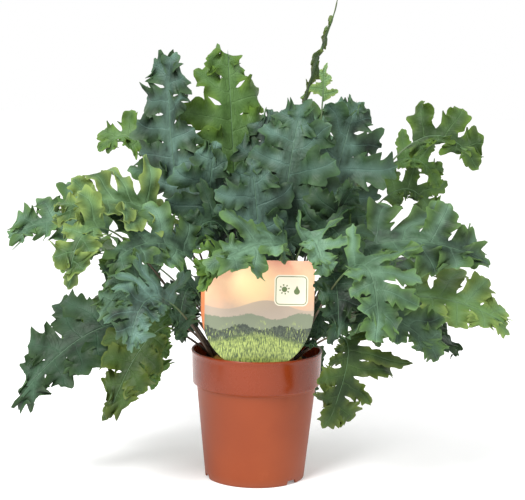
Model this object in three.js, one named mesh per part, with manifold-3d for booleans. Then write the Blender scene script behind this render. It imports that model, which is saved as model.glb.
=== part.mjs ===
// A polypody fern with ruffled blue-green fronds, growing in a plastic grower's pot.
// Millimetres, Z up. The pot stands on z = 0 around the Z axis, and the plant label faces -Y.
import * as THREE from "three";
import { mergeVertices } from "three/addons/utils/BufferGeometryUtils.js";
import Module from "manifold-3d";

const wasm = await Module();
wasm.setup();

// ---------- driving dimensions ----------

const clearance = 0.3; // between pieces that rest on or against one another

const pot = {
  height: 118.5,
  rimRadius: 60, // a 12 cm pot is named by its rim
  collarHeight: 30,
  collarFootRadius: 58.5,
  neckRadius: 54.6,
  neckStep: 3.1, // height of the slope under the collar
  baseRadius: 45.6,
  wall: 1.2,
  floor: 1.6,
  padRadius: 30, // the flat middle of the floor, which stands on the table with the foot ring
  recessHeight: 3.6, // the floor is raised between pad and foot ring, where water drains
  footWidth: 1.5,
  lip: 0.5,
  facets: 40,
};
const notch = { width: 12, depth: 8, count: 3, firstAngle: -42 }; // gaps in the foot ring
const drain = { radius: 2.4, ring: 38.5, count: 6, firstAngle: -12, facets: 10 };

const soil = { top: 106, mound: 2, bump: 0.6, bumpLength: 9 };

const rhizomeMake = { radius: 4.5, sides: 10, steps: 10, raise: 1.5 };
// Each rhizome creeps along an arc around the pot's axis: radius and angle at both ends, and
// how far its growing tip rears up.
const rhizomes = [
  { from: [33, 172], to: [49, 237], rise: 8.5, colour: 0xb98a35 },
  { from: [32, 256], to: [37, 334], rise: 1, colour: 0x8a5a2c },
  { from: [36, 350], to: [40, 424], rise: 2, colour: 0x96642f },
  { from: [38, 81], to: [34, 154], rise: 2, colour: 0x855528 },
  { from: [12, 200], to: [17, 405], rise: 0, colour: 0x7a4c25 },
];

const label = {
  y: -49,
  thickness: 0.8,
  top: 208,
  halfWidth: 50,
  sideFoot: 166, // where the straight sides end
  rimHalfWidth: 24, // just below the pot's rim
  rimHeight: 116,
  stakeHalfWidth: 9,
  stakeTop: 104,
  stakeFoot: 80,
  point: 6,
  corner: 6,
};

const make = {
  stalkRadius: 1.1,
  tipRadius: 0.4,
  midribRadius: 0.9,
  thickness: 0.8,
  stalkSteps: 4,
  stepsPerLobe: 3,
  bladeFoot: 1.5, // half the width of the blade where it begins
  wing: 0.3, // leaf kept beside the midrib between two lobes, as a share of the lobe beside it
  shoulder: 0.86, // how far out the lobe's lower corner lies, as a share of its length
  spread: 0.13, // half the width of a lobe's end, as a share of the distance between lobes
  crowding: 2.2, // lobes on the inner side of a sideways bend are shorter
  forward: 0.28, // slant of the lobes towards the frond's tip, ahead per outwards
  fold: 0.14, // both halves of the leaf rise from the midrib
  ruffle: 0.28, // every lobe rises or dips beside the next one
  gap: 0.9, // kept free between fronds
  leastLobe: 0.1, // a lobe isn't shortened below this share
  shorten: 0.85,
  rounds: 80,
  leastOverlap: 0.001, // cubic millimetres
};

const glaucous = 0x4f706c;
const seaGreen = 0x587f6b;
const leafGreen = 0x5f8a54;
const paleGreen = 0x86a861;
const darkGreen = 0x3d5c47;
const olive = 0x6c7d45;
const up = [0, 0, 1];
const toViewer = [0, -1, 0.3];

// One row per frond: its name, the rhizome it grows from with the share of the rhizome's length,
// the point that its stalk's arch bends under, its tip, the share of the arch where the blade
// begins, half the blade's width, the lobes on each side, where its upper face looks, its colour.
const fronds = [
  ["centre_front", 4, 0.6, [68, -26, 270], [-39, -104, 209], 0.52, 40, 4, [0.1, -0.7, 0.7], seaGreen],
  ["right_big", 4, 0.8, [67, -37, 269], [203, -38, 209], 0.38, 56, 5, [0, -0.7, 0.7], seaGreen],
  ["left_light", 4, 0.06, [-84, -40, 308], [-176, -78, 244], 0.42, 52, 6, [0, -0.52, 0.85], paleGreen],
  ["far_right", 2, 0.22, [121, -28, 214], [228, -32, 149], 0.48, 42, 4, [0, -0.6, 0.8], paleGreen],
  ["left_low_big", 0, 0.26, [-128, -32, 198], [-214, -52, 74], 0.4, 50, 5, [-0.3, -0.8, 0.5], darkGreen],
  ["pale_blue", 0, 0.66, [-96, -123, 236], [-105, -136, 144], 0.34, 38, 6, [-0.1, -0.9, 0.4], glaucous],
  ["olive_low", 0, 0.56, [-84, -64, 202], [-128, -88, 72], 0.5, 34, 4, [-0.3, -0.9, 0.2], olive],
  ["hang_right", 1, 0.84, [109, -80, 194], [63, -70, 64], 0.42, 42, 5, [0.1, -0.9, 0.2], olive],
  ["right_front", 1, 0.94, [99, -106, 289], [101, -134, 156], 0.4, 46, 5, [0.2, -0.9, 0.4], seaGreen],
  ["far_left", 0, 0.16, [-142, 0, 278], [-224, -14, 219], 0.5, 42, 4, [0, -0.6, 0.8], darkGreen],
  ["curl_right", 2, 0.455, [134, 52, 391], [200, 22, 287], 0.55, 34, 3, [0.2, -0.9, 0.4], leafGreen],
  ["upright_blue", 3, 0.86, [-92, 22, 261], [-85, 45, 386], 0.45, 34, 5, [-0.5, -0.8, 0.2], glaucous],
  ["upright_green", 3, 0.4, [-24, 35, 280], [-33, 70, 393], 0.42, 46, 5, [0.3, -0.9, 0.2], leafGreen],
  ["top_middle", 4, 0.7, [18, -24, 265], [37, 10, 343], 0.38, 48, 5, [-0.2, -0.9, 0.3], glaucous],
  ["top_right", 2, 0.37, [63, 2, 267], [89, 42, 348], 0.38, 52, 5, [0.3, -0.8, 0.2], glaucous],
  ["wiry", 4, 0.94, [-4, 5, 240], [68, 25, 434], 0.72, 9, 3, [1, -0.4, 0], olive],
  ["juvenile", 2, 0.69, [55, 60, 250], [59, 82, 378], 0.86, 11, 2, toViewer, paleGreen],
  ["hang_far_right", 2, 0.53, [131, 70, 335], [168, 78, 226], 0.5, 36, 4, [0.2, -0.9, 0.4], leafGreen],
  ["right_low", 2, 0.14, [95, -77, 207], [158, -88, 132], 0.42, 38, 4, [0.1, -0.7, 0.7], darkGreen],
  ["left_light_low", 0, 0.36, [-152, -93, 317], [-158, -118, 192], 0.55, 34, 3, [-0.3, -0.9, 0.3], paleGreen],
  ["left_back_curl", 3, 0.71, [-104, 74, 362], [-152, 80, 290], 0.56, 30, 3, [-0.2, -0.8, 0.5], leafGreen],
  ["left_mid", 4, 0.14, [-66, -54, 274], [-132, -92, 202], 0.42, 46, 4, [-0.1, -0.8, 0.6], seaGreen],
  ["left_upright", 3, 0.93, [-55, -8, 229], [-40, -8, 308], 0.42, 38, 4, [0.2, -0.9, 0.3], glaucous],
  ["centre_upright", 1, 0.3, [3, -22, 222], [-8, -34, 296], 0.42, 36, 4, toViewer, glaucous],
  ["right_of_label", 2, 0.06, [73, -33, 262], [70, -88, 141], 0.5, 30, 4, [0.1, -0.9, 0.3], darkGreen],
  ["rim_right", 1, 0.77, [38, -34, 142], [52, -46, 131], 0.35, 13, 3, [0.3, -0.7, 0.6], darkGreen],
  ["middle_right", 4, 0.87, [58, -8, 222], [84, -40, 276], 0.42, 36, 4, [0.4, -0.8, 0.3], darkGreen],
  ["back_high_left", 3, 0.56, [-62, 80, 302], [-114, 152, 284], 0.42, 46, 5, up, seaGreen],
  ["back_high_right", 3, 0.06, [50, 92, 292], [94, 170, 262], 0.42, 46, 5, up, leafGreen],
  ["back_middle", 3, 0.24, [-5, 110, 268], [8, 198, 208], 0.4, 48, 5, up, glaucous],
  ["back_left", 3, 0.78, [-112, 66, 238], [-192, 114, 176], 0.42, 46, 5, up, leafGreen],
  ["back_right", 2, 0.78, [112, 72, 234], [192, 120, 166], 0.42, 46, 5, up, seaGreen],
  ["back_low", 3, 0.32, [-25, 112, 196], [-38, 194, 104], 0.42, 44, 5, [0, 0.7, 0.7], darkGreen],
  ["back_low_right", 2, 0.94, [72, 104, 186], [126, 172, 90], 0.42, 44, 5, [0.3, 0.6, 0.7], leafGreen],
  ["back_low_left", 3, 0.64, [-82, 92, 184], [-144, 150, 86], 0.42, 44, 5, [-0.3, 0.6, 0.7], seaGreen],
  ["back_hanging", 3, 0.15, [38, 110, 166], [52, 114, 50], 0.42, 38, 4, [0.2, 0.9, 0.2], darkGreen],
  ["right_side", 2, 0.31, [122, 16, 198], [190, 36, 108], 0.42, 40, 5, [0.2, -0.2, 0.9], darkGreen],
  ["left_side", 0, 0.07, [-118, 20, 196], [-186, 44, 104], 0.42, 42, 5, [-0.2, -0.2, 0.9], leafGreen],
  ["inner_back_right", 2, 0.86, [38, 66, 236], [64, 122, 334], 0.42, 40, 4, [0.4, -0.6, 0.6], seaGreen],
  ["inner_back_left", 3, 0.48, [-34, 58, 250], [-44, 120, 338], 0.42, 40, 4, [-0.4, -0.6, 0.6], leafGreen],
  ["left_of_label", 0, 0.86, [-64, -43, 238], [-72, -68, 148], 0.38, 32, 5, [-0.1, -0.9, 0.3], darkGreen],
  ["over_label_left", 1, 0.08, [-24, 7, 269], [-48, -92, 189], 0.6, 22, 3, [0, -0.9, 0.4], leafGreen],
  ["over_label_right", 1, 0.5, [41, -38, 286], [57, -78, 201], 0.5, 34, 4, [0.2, -0.9, 0.3], seaGreen],
  ["spiky_left", 4, 0.4, [-7, 22, 249], [8, 52, 335], 0.42, 38, 4, [-0.2, -0.9, 0.3], glaucous],
  ["curl_right_low", 2, 0.605, [121, 80, 358], [170, 62, 266], 0.6, 28, 3, [0.2, -0.9, 0.3], leafGreen],
  ["inner_left", 4, 0.3, [-27, -12, 305], [-71, -42, 204], 0.45, 38, 4, [-0.1, -0.9, 0.4], darkGreen],
  ["inner_right", 1, 0.69, [55, -31, 302], [80, -60, 204], 0.45, 38, 4, [0.2, -0.9, 0.4], darkGreen],
  ["left_fill", 0, 0.94, [-97, -46, 234], [-139, -66, 153], 0.45, 34, 4, [-0.1, -0.8, 0.5], seaGreen],
  ["right_fill", 1, 0.62, [60, -49, 229], [113, -46, 144], 0.42, 36, 4, [0.1, -0.8, 0.4], darkGreen],
  ["low_left_mid", 4, 0.22, [-105, -54, 209], [-89, -52, 92], 0.46, 36, 4, [-0.1, -0.9, 0.3], leafGreen],
  ["fill_low_left", 0, 0.46, [-59, -12, 217], [-68, -9, 138], 0.4, 32, 4, [-0.1, -0.9, 0.3], darkGreen],
  ["fill_low_right", 1, 0.14, [65, -11, 190], [53, -39, 138], 0.4, 32, 4, [0.1, -0.9, 0.3], darkGreen],
];

// ---------- solids ----------

const radians = THREE.MathUtils.degToRad;
const point = (a) => new THREE.Vector3(...a);

// A point at a distance and an angle in degrees from the Z axis.
function around(radius, angle, z) {
  return new THREE.Vector3(
    radius * Math.cos(radians(angle)),
    radius * Math.sin(radians(angle)),
    z,
  );
}

// A closed geometry as a solid for joining and cutting.
function solidOf(geometry) {
  const bare = geometry.clone();
  bare.deleteAttribute("normal");
  bare.deleteAttribute("uv");
  const merged = mergeVertices(bare, 1e-4);
  return new wasm.Manifold(
    new wasm.Mesh({
      numProp: 3,
      vertProperties: new Float32Array(merged.attributes.position.array),
      triVerts: new Uint32Array(merged.index.array),
    }),
  );
}

function geometryOf(solid) {
  const mesh = solid.getMesh();
  const geometry = new THREE.BufferGeometry();
  geometry.setAttribute("position", new THREE.BufferAttribute(mesh.vertProperties, 3));
  geometry.setIndex(new THREE.BufferAttribute(mesh.triVerts, 1));
  return geometry;
}

// A solid of revolution around Z, from [radius, height] points that start and end on the axis.
function turned(profile, facets) {
  const points = profile.map(([r, z]) => new THREE.Vector2(r, z));
  return new THREE.LatheGeometry(points, facets).rotateX(Math.PI / 2);
}

// A closed tube with flat ends, every vertex of which is placed by place(step, side). The side is
// null at the middle of an end cap.
function shapedTube(sides, steps, place) {
  const tube = new THREE.CylinderGeometry(1, 1, 1, sides, steps);
  const at = tube.attributes.position;
  for (let i = 0; i < at.count; i++) {
    const step = Math.round((0.5 + at.getY(i)) * steps);
    const turn = Math.atan2(at.getX(i), at.getZ(i)) / (2 * Math.PI);
    const side = Math.round(turn * sides + sides) % sides;
    const onAxis = Math.hypot(at.getX(i), at.getZ(i)) < 0.5;
    const p = place(step, onAxis ? null : side);
    at.setXYZ(i, p.x, p.y, p.z);
  }
  return tube;
}

// The two lower sides of a six-sided tube split their quads along the other diagonal, so that a
// leaf's lower face is bent just as its upper face is.
function bentAlike(tube, steps) {
  const index = tube.index.array;
  for (let i = 6 * 2 * steps; i < 6 * 4 * steps; i += 6) {
    const [a, b, d, , c] = index.slice(i, i + 6);
    index.set([a, b, c, a, c, d], i);
  }
  return tube;
}

function mesh(name, geometry, colour, roughness) {
  const material = new THREE.MeshStandardMaterial({ color: colour, roughness, metalness: 0 });
  geometry.computeVertexNormals();
  const made = new THREE.Mesh(geometry, material);
  made.name = name;
  return made;
}

// ---------- the pot ----------

// Radius of the pot's wall below the collar, outside.
function wallRadius(z) {
  const share = z / (pot.height - pot.collarHeight - pot.neckStep);
  return THREE.MathUtils.lerp(pot.baseRadius, pot.neckRadius, share);
}

const neckZ = pot.height - pot.collarHeight - pot.neckStep;
const collarZ = pot.height - pot.collarHeight;
const ringFloor = pot.recessHeight + pot.floor;
const slope = 2.5; // width of the step from the pad up to the raised ring

function potProfile() {
  const innerFoot = wallRadius(ringFloor) - pot.wall;
  const recessOuter = pot.baseRadius - pot.footWidth;
  return [
    [0, 0],
    [pot.padRadius, 0],
    [pot.padRadius + slope, pot.recessHeight],
    [recessOuter, pot.recessHeight],
    [recessOuter, 0],
    [pot.baseRadius - 0.4, 0],
    [pot.baseRadius, 0.6],
    [pot.neckRadius, neckZ],
    [pot.collarFootRadius - 0.7, collarZ - 0.9],
    [pot.collarFootRadius, collarZ],
    [pot.rimRadius - pot.lip, pot.height - 2.2],
    [pot.rimRadius, pot.height - 1.6],
    [pot.rimRadius, pot.height - 0.4],
    [pot.rimRadius - 0.5, pot.height],
    [pot.rimRadius - pot.wall - 0.5, pot.height],
    [pot.rimRadius - pot.wall - pot.lip - 0.2, pot.height - 1],
    [pot.collarFootRadius - pot.wall, collarZ],
    [pot.neckRadius - pot.wall, neckZ],
    [innerFoot, ringFloor],
    [pot.padRadius + slope - 0.9, ringFloor],
    [pot.padRadius - 0.9, pot.floor],
    [0, pot.floor],
  ];
}

function potSolid() {
  let body = solidOf(turned(potProfile(), pot.facets));
  for (let i = 0; i < notch.count; i++) {
    const gap = new THREE.BoxGeometry(notch.depth, notch.width, 2 * pot.recessHeight);
    gap.translate(pot.baseRadius, 0, 0);
    gap.rotateZ(radians(notch.firstAngle + (360 * i) / notch.count));
    body = body.subtract(solidOf(gap));
  }
  for (let i = 0; i < drain.count; i++) {
    const hole = new THREE.CylinderGeometry(drain.radius, drain.radius, 20, drain.facets);
    hole.rotateX(Math.PI / 2);
    hole.translate(drain.ring, 0, 0);
    hole.rotateZ(radians(drain.firstAngle + (360 * i) / drain.count));
    body = body.subtract(solidOf(hole));
  }
  return body;
}

// ---------- rhizomes ----------

// The middle line of a rhizome, at a share of its length.
function rhizomeAt(row, share) {
  const radius = THREE.MathUtils.lerp(row.from[0], row.to[0], share);
  const angle = THREE.MathUtils.lerp(row.from[1], row.to[1], share);
  const z = soil.top + rhizomeMake.raise + row.rise * share ** 3;
  return around(radius, angle, z);
}

function rhizomeTangent(row, share) {
  const step = 0.01;
  return rhizomeAt(row, share + step).sub(rhizomeAt(row, share - step)).normalize();
}

function rhizomeLength(row) {
  return rhizomeAt(row, 0).distanceTo(rhizomeAt(row, 1));
}

// The radius falls off over the last stretch at both ends, which rounds them.
function rhizomeRadius(row, share) {
  const toEnd = (Math.min(share, 1 - share) * rhizomeLength(row)) / rhizomeMake.radius;
  const fallen = Math.max(0, 1 - Math.max(0, toEnd));
  return rhizomeMake.radius * Math.sqrt(1 - 0.9 * fallen ** 2);
}

// A tube along the arc with rounded ends. Swollen, it also reaches further at both ends.
function rhizomeGeometry(row, swell) {
  const { sides, steps } = rhizomeMake;
  const length = rhizomeLength(row);
  const ends = [0, 0.12, 0.45].map((k) => (k * rhizomeMake.radius) / length);
  const shares = [...ends, 0.2, 0.35, 0.5, 0.65, 0.8, ...ends.map((e) => 1 - e).reverse()];
  return shapedTube(sides, steps, (step, side) => {
    const share = shares[step];
    const along = rhizomeTangent(row, share);
    const middle = rhizomeAt(row, share).addScaledVector(along, swell * (2 * share - 1));
    if (side === null) return middle;
    const across = new THREE.Vector3().crossVectors(along, point(up)).normalize();
    const above = new THREE.Vector3().crossVectors(across, along);
    const radius = rhizomeRadius(row, share) + swell;
    const turn = (2 * Math.PI * side) / sides;
    return middle
      .addScaledVector(across, radius * Math.sin(turn))
      .addScaledVector(above, radius * Math.cos(turn));
  });
}

// ---------- plant label ----------

// One flat card: straight sides, a rounded lower edge and a pointed stake. The right half of the
// outline is mirrored for the left half.
function labelGeometry(swell) {
  const half = label.halfWidth + swell;
  const stake = label.stakeHalfWidth + swell;
  const { corner, top, sideFoot, rimHalfWidth, rimHeight, stakeTop, stakeFoot } = label;
  const shoulder = stakeFoot + label.point - swell;
  const shape = new THREE.Shape();
  shape.moveTo(half - corner, top);
  shape.quadraticCurveTo(half, top, half, top - corner);
  shape.lineTo(half, sideFoot);
  shape.bezierCurveTo(half, rimHeight + 24, 0.76 * half, rimHeight + 7, rimHalfWidth, rimHeight);
  shape.quadraticCurveTo(stake + 4, stakeTop + 6, stake, stakeTop);
  shape.lineTo(stake, shoulder);
  shape.lineTo(0, stakeFoot - swell);
  shape.lineTo(-stake, shoulder);
  shape.lineTo(-stake, stakeTop);
  shape.quadraticCurveTo(-stake - 4, stakeTop + 6, -rimHalfWidth, rimHeight);
  shape.bezierCurveTo(-0.76 * half, rimHeight + 7, -half, rimHeight + 24, -half, sideFoot);
  shape.lineTo(-half, top - corner);
  shape.quadraticCurveTo(-half, top, -half + corner, top);
  const depth = label.thickness + 2 * swell;
  const card = new THREE.ExtrudeGeometry(shape, { depth, bevelEnabled: false, curveSegments: 6 });
  return card.rotateX(Math.PI / 2).translate(0, label.y + depth / 2, 0);
}

// ---------- soil ----------

// The plug of soil fills the pot below the collar, its top a low uneven mound.
function soilSolid() {
  const inset = pot.wall + clearance;
  const ring = ringFloor + clearance;
  const profile = [
    [0, pot.floor + clearance],
    [pot.padRadius - 0.9, pot.floor + clearance],
    [pot.padRadius + slope - 0.9, ring],
    [wallRadius(ring) - inset, ring],
    [pot.neckRadius - inset, neckZ],
    [pot.collarFootRadius - inset, collarZ],
    [pot.collarFootRadius - inset + 0.2, soil.top - 2],
    [50, soil.top],
    [38, soil.top + 0.4],
    [26, soil.top + 0.7 * soil.mound],
    [13, soil.top + soil.mound],
    [0, soil.top + soil.mound],
  ];
  const plug = turned(profile, pot.facets);
  const at = plug.attributes.position;
  for (let i = 0; i < at.count; i++) {
    const [x, y, z] = [at.getX(i), at.getY(i), at.getZ(i)];
    if (z < soil.top - 1) continue;
    const wave = Math.sin(x / soil.bumpLength) * Math.sin(y / soil.bumpLength + 1);
    at.setZ(i, z + soil.bump * wave);
  }
  let body = solidOf(plug).subtract(solidOf(labelGeometry(clearance)));
  for (const row of rhizomes) {
    body = body.subtract(solidOf(rhizomeGeometry(row, clearance)));
  }
  return body;
}

// ---------- fronds ----------

// A repeatable number from 0 to 1, so that no two lobes are alike.
function vary(seed) {
  const wave = Math.sin(seed * 12.9898) * 43758.5453;
  return wave - Math.floor(wave);
}

// The length of a lobe as a share of the longest, from the foot of the blade to its tip.
function lobeShare(u) {
  return Math.sin(Math.PI * (0.16 + 0.76 * u) ** 0.8);
}

// Where a stalk starts: on top of its rhizome, just clear of it.
function stalkFoot(row, share, over) {
  const middle = rhizomeAt(row, share);
  const along = rhizomeTangent(row, share);
  const lean = over.clone().sub(middle).normalize();
  const out = lean.clone().addScaledVector(along, -lean.dot(along)).normalize();
  const tilt = Math.sqrt(Math.max(0, 1 - lean.dot(out) ** 2));
  const reach = rhizomeRadius(row, share) + clearance + make.stalkRadius * tilt;
  return middle.addScaledVector(out, reach);
}

// The whole frond as one tube of six sides: two edges and a rib above and below. Along the stalk
// the six points are close together; along the blade the edges swing out to lobes and back.
function frondShape(row, seed, lengths, swell) {
  const [, rhizome, share, overAt, tipAt, bladeFrom, half, lobes, faceAt] = row;
  const over = point(overAt);
  const foot = stalkFoot(rhizomes[rhizome], share, over);
  const arch = new THREE.QuadraticBezierCurve3(foot, over, point(tipAt));
  const face = point(faceAt).normalize();
  const bladeSteps = make.stepsPerLobe * lobes + 2;
  const steps = make.stalkSteps + bladeSteps;
  const pitch = (arch.getLength() * (1 - bladeFrom)) / lobes;

  // The midrib, the three directions of the leaf and its sideways bend at a step.
  function frame(step) {
    const k = step - make.stalkSteps;
    const stalk = (bladeFrom * step) / make.stalkSteps;
    const t = k < 0 ? stalk : bladeFrom + ((1 - bladeFrom) * k) / bladeSteps;
    const along = arch.getTangent(t);
    const above = face.clone().addScaledVector(along, -face.dot(along)).normalize();
    const across = new THREE.Vector3().crossVectors(along, above);
    const [before, after] = [Math.max(0, t - 0.02), Math.min(1, t + 0.02)];
    const turn = arch.getTangent(after).sub(arch.getTangent(before));
    const stretch = arch.getPoint(after).distanceTo(arch.getPoint(before));
    return { middle: arch.getPoint(t), along, above, across, bend: turn.dot(across) / stretch };
  }

  function lobeLength(lobe, hand) {
    const own = lengths[(hand > 0 ? 0 : lobes) + lobe];
    const unlike = 0.85 + 0.3 * vary(seed + 7 * lobe + hand);
    return half * lobeShare((lobe + 0.5) / lobes) * own * unlike;
  }

  // One edge point of the blade: how far out it lies from the midrib, how far ahead of the slant
  // that all lobes share, and how far up.
  function edge(k, hand) {
    const shifted = k - (hand > 0 ? 0 : 1);
    const lobe = Math.floor(shifted / make.stepsPerLobe);
    const part = shifted - lobe * make.stepsPerLobe;
    if (k <= 0 || lobe < 0 || lobe >= lobes) return [make.bladeFoot, 0, 0];
    const long = lobeLength(lobe, hand);
    const lift = make.fold + make.ruffle * Math.sin(2.4 * lobe + 1.7 * hand + seed);
    const wing = make.wing * long;
    const spread = make.spread * pitch;
    if (part === 0) return [make.bladeFoot + wing, 0, make.fold * wing];
    if (part === 1) return [make.shoulder * long, -spread, 0.7 * lift * long];
    return [long, spread, lift * long];
  }

  const tube = shapedTube(6, steps, (step, side) => {
    const { middle, along, above, across, bend } = frame(step);
    if (side === null) return middle;
    const k = step - make.stalkSteps;
    const hand = side === 1 || side === 2 ? 1 : -1;
    const top = side === 0 || side === 1 || side === 5 ? 1 : -1;
    const taper = THREE.MathUtils.lerp(make.midribRadius, make.tipRadius, k / bladeSteps);
    const radius = (k < 0 ? make.stalkRadius : taper) + swell;
    if (side === 0 || side === 3) return middle.addScaledVector(above, top * radius);
    if (k < 0 || step === steps) {
      middle.addScaledVector(across, 0.87 * hand * radius);
      return middle.addScaledVector(above, 0.5 * top * radius);
    }
    const [full, ahead, lift] = edge(k, hand);
    const crowd = 1 / (1 + make.crowding * Math.max(0, hand * bend) * full);
    const out = crowd * full;
    middle.addScaledVector(across, hand * (out + swell));
    middle.addScaledVector(along, make.forward * out + crowd * ahead);
    return middle.addScaledVector(above, crowd * lift + top * (make.thickness / 2 + swell));
  });

  // The middle of each lobe, right ones first.
  const middles = lengths.map((_, i) => {
    const hand = i < lobes ? 1 : -1;
    const lobe = i % lobes;
    const step = make.stalkSteps + make.stepsPerLobe * lobe + (hand > 0 ? 1.5 : 2.5);
    const { middle, along, across } = frame(step);
    const out = 0.6 * lobeLength(lobe, hand);
    return middle.addScaledVector(across, hand * out).addScaledVector(along, make.forward * out);
  });
  return { geometry: bentAlike(tube, steps), middles };
}

// ---------- the assembly ----------

const group = new THREE.Group();
group.name = "potted_fern";
const placed = [];

function place(name, solid, colour, roughness) {
  placed.push({ name, solid, box: solid.boundingBox() });
  group.add(mesh(name, geometryOf(solid), colour, roughness));
}

// The middle of the first overlap between a solid and the pieces placed so far, or null.
function firstClash(solid, except) {
  const box = solid.boundingBox();
  for (const other of placed) {
    const near = [0, 1, 2].every(
      (i) => box.min[i] < other.box.max[i] && other.box.min[i] < box.max[i],
    );
    if (!near || other.name === except) continue;
    const common = solid.intersect(other.solid);
    if (Math.abs(common.volume()) < make.leastOverlap) continue;
    const { min, max } = common.boundingBox();
    return point(min).add(point(max)).multiplyScalar(0.5);
  }
  return null;
}

// Fronds grow into free space: a lobe that would meet a neighbour stays shorter.
function grow(row, seed) {
  const [name, rhizome, , , , , , lobes, , colour] = row;
  const lengths = Array(2 * lobes).fill(1);
  const carrier = `rhizome_${rhizome + 1}`;
  let at = null;
  for (let round = 0; round < make.rounds; round++) {
    const { geometry, middles } = frondShape(row, seed, lengths, 0);
    const roomy = frondShape(row, seed, lengths, make.gap).geometry;
    const solid = solidOf(geometry);
    at = firstClash(solidOf(roomy), carrier) ?? firstClash(solid, "");
    if (!at) return place(`frond_${name}`, solid, colour, 0.6);
    const away = middles.map((m, i) => m.distanceTo(at) + (lengths[i] < make.leastLobe ? 1e3 : 0));
    lengths[away.indexOf(Math.min(...away))] *= make.shorten;
  }
  throw new Error(`frond ${name} has no room near ${at.toArray().map(Math.round)}`);
}

place("pot", potSolid(), 0xa9583a, 0.45);
place("soil", soilSolid(), 0x2a211b, 0.95);
place("plant_label", solidOf(labelGeometry(0)), 0xdca57c, 0.5);
rhizomes.forEach((row, i) => {
  place(`rhizome_${i + 1}`, solidOf(rhizomeGeometry(row, 0)), row.colour, 0.8);
});
fronds.forEach((row, i) => grow(row, i + 1));

export default group;
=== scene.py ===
import math

import bpy
import numpy as np
from mathutils import Matrix


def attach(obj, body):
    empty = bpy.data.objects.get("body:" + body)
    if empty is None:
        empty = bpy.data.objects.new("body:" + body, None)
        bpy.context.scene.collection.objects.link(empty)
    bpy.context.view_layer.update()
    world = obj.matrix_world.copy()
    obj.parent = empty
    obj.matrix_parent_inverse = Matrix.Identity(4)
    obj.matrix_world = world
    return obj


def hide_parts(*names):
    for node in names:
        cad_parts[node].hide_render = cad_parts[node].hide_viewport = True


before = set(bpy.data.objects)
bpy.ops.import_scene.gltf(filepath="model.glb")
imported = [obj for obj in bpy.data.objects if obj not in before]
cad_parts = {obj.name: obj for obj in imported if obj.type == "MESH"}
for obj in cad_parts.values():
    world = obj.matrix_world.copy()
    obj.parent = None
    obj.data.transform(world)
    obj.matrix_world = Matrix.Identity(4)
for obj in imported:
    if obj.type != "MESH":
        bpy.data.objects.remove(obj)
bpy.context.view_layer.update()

mm = 0.001
upwards = np.array([0.0, 0.0, 1.0])


# A node's socket in a Python expression. Each operator adds its Math node.
class Wire:
    def __init__(self, finish, socket):
        self.finish = finish
        self.socket = socket

    def maths(self, operation, *terms):
        return self.finish.node("Math", {"operation": operation}, dict(enumerate(terms)))

    def __add__(self, other):
        return self.maths("ADD", self, other)

    def __sub__(self, other):
        return self.maths("SUBTRACT", self, other)

    def __rsub__(self, other):
        return self.maths("SUBTRACT", other, self)

    def __mul__(self, other):
        return self.maths("MULTIPLY", self, other)

    def __truediv__(self, other):
        return self.maths("DIVIDE", self, other)

    def __pow__(self, other):
        return self.maths("POWER", self, other)

    def __abs__(self):
        return self.maths("ABSOLUTE", self)

    __radd__ = __add__
    __rmul__ = __mul__

    def sine(self):
        return self.maths("SINE", self)

    def least(self, other):
        return self.maths("MINIMUM", self, other)

    def most(self, other):
        return self.maths("MAXIMUM", self, other)

    # 0 below the first value, 1 above the second, smooth between them
    def step(self, low, high):
        settings = {"interpolation_type": "SMOOTHSTEP"}
        return self.finish.node("MapRange", settings, {"Value": self, "From Min": low, "From Max": high})


shaderInputs = {
    "colour": "Base Color", "roughness": "Roughness", "normal": "Normal", "specular": "Specular IOR Level",
}


# One material. Its node() makes every node: type, settings set first, then socket values or links.
class Finish:
    def __init__(self, name):
        self.material = bpy.data.materials.new(name)
        self.material.use_nodes = True
        self.tree = self.material.node_tree
        self.shader = self.tree.nodes["Principled BSDF"]

    def node(self, kind, settings=None, sockets=None, out=0):
        made = self.tree.nodes.new("ShaderNode" + kind)
        for key, value in (settings or {}).items():
            if key == "stops":
                setStops(made.color_ramp, value)
            else:
                setattr(made, key, value)
        for key, value in (sockets or {}).items():
            self.feed(made.inputs[key], value)
        return Wire(self, made.outputs[out])

    def feed(self, socket, value):
        if isinstance(value, Wire):
            self.tree.links.new(value.socket, socket)
        else:
            socket.default_value = value

    def mix(self, first, second, share):
        settings = {"data_type": "RGBA", "clamp_factor": True}
        return self.node("Mix", settings, {0: share, 6: first, 7: second}, 2)

    def noise(self, scale, detail=2.0, where=None, roughness=0.5):
        sockets = {"Scale": scale, "Detail": detail, "Roughness": roughness}
        if where is not None:
            sockets["Vector"] = where
        else:
            sockets["Vector"] = self.node("TexCoord", out=3)
        return self.node("TexNoise", None, sockets)

    def parts(self, vector):
        made = self.node("SeparateXYZ", None, {0: vector}).socket.node
        return [Wire(self, made.outputs[i]) for i in range(3)]

    def objectPlace(self):
        return self.parts(self.node("TexCoord", out=3))

    def attribute(self, name):
        return self.node("Attribute", {"attribute_name": name}, out=2)

    def vectorAttribute(self, name):
        return self.parts(self.node("Attribute", {"attribute_name": name}, out=1))

    def bump(self, height, strength, distance):
        return self.node("Bump", None, {"Height": height, "Strength": strength, "Distance": distance})

    # feeds the shader's inputs, by the names above
    def wear(self, **inputs):
        for key, value in inputs.items():
            self.feed(self.shader.inputs[shaderInputs[key]], value)
        return self.material


# A colour ramp with the given places and colours.
def setStops(ramp, stops):
    while len(ramp.elements) > 1:
        ramp.elements.remove(ramp.elements[0])
    ramp.elements[0].position, ramp.elements[0].color = stops[0]
    for position, colour in stops[1:]:
        ramp.elements.new(position).color = colour


# "#rrggbb" as it looks on a screen, to the linear numbers that shaders take
def tint(code):
    screen = np.array([int(code[i:i + 2], 16) for i in (1, 3, 5)]) / 255
    linear = np.where(screen <= 0.04045, screen / 12.92, ((screen + 0.055) / 1.055) ** 2.4)
    return (*linear.tolist(), 1.0)


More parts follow.
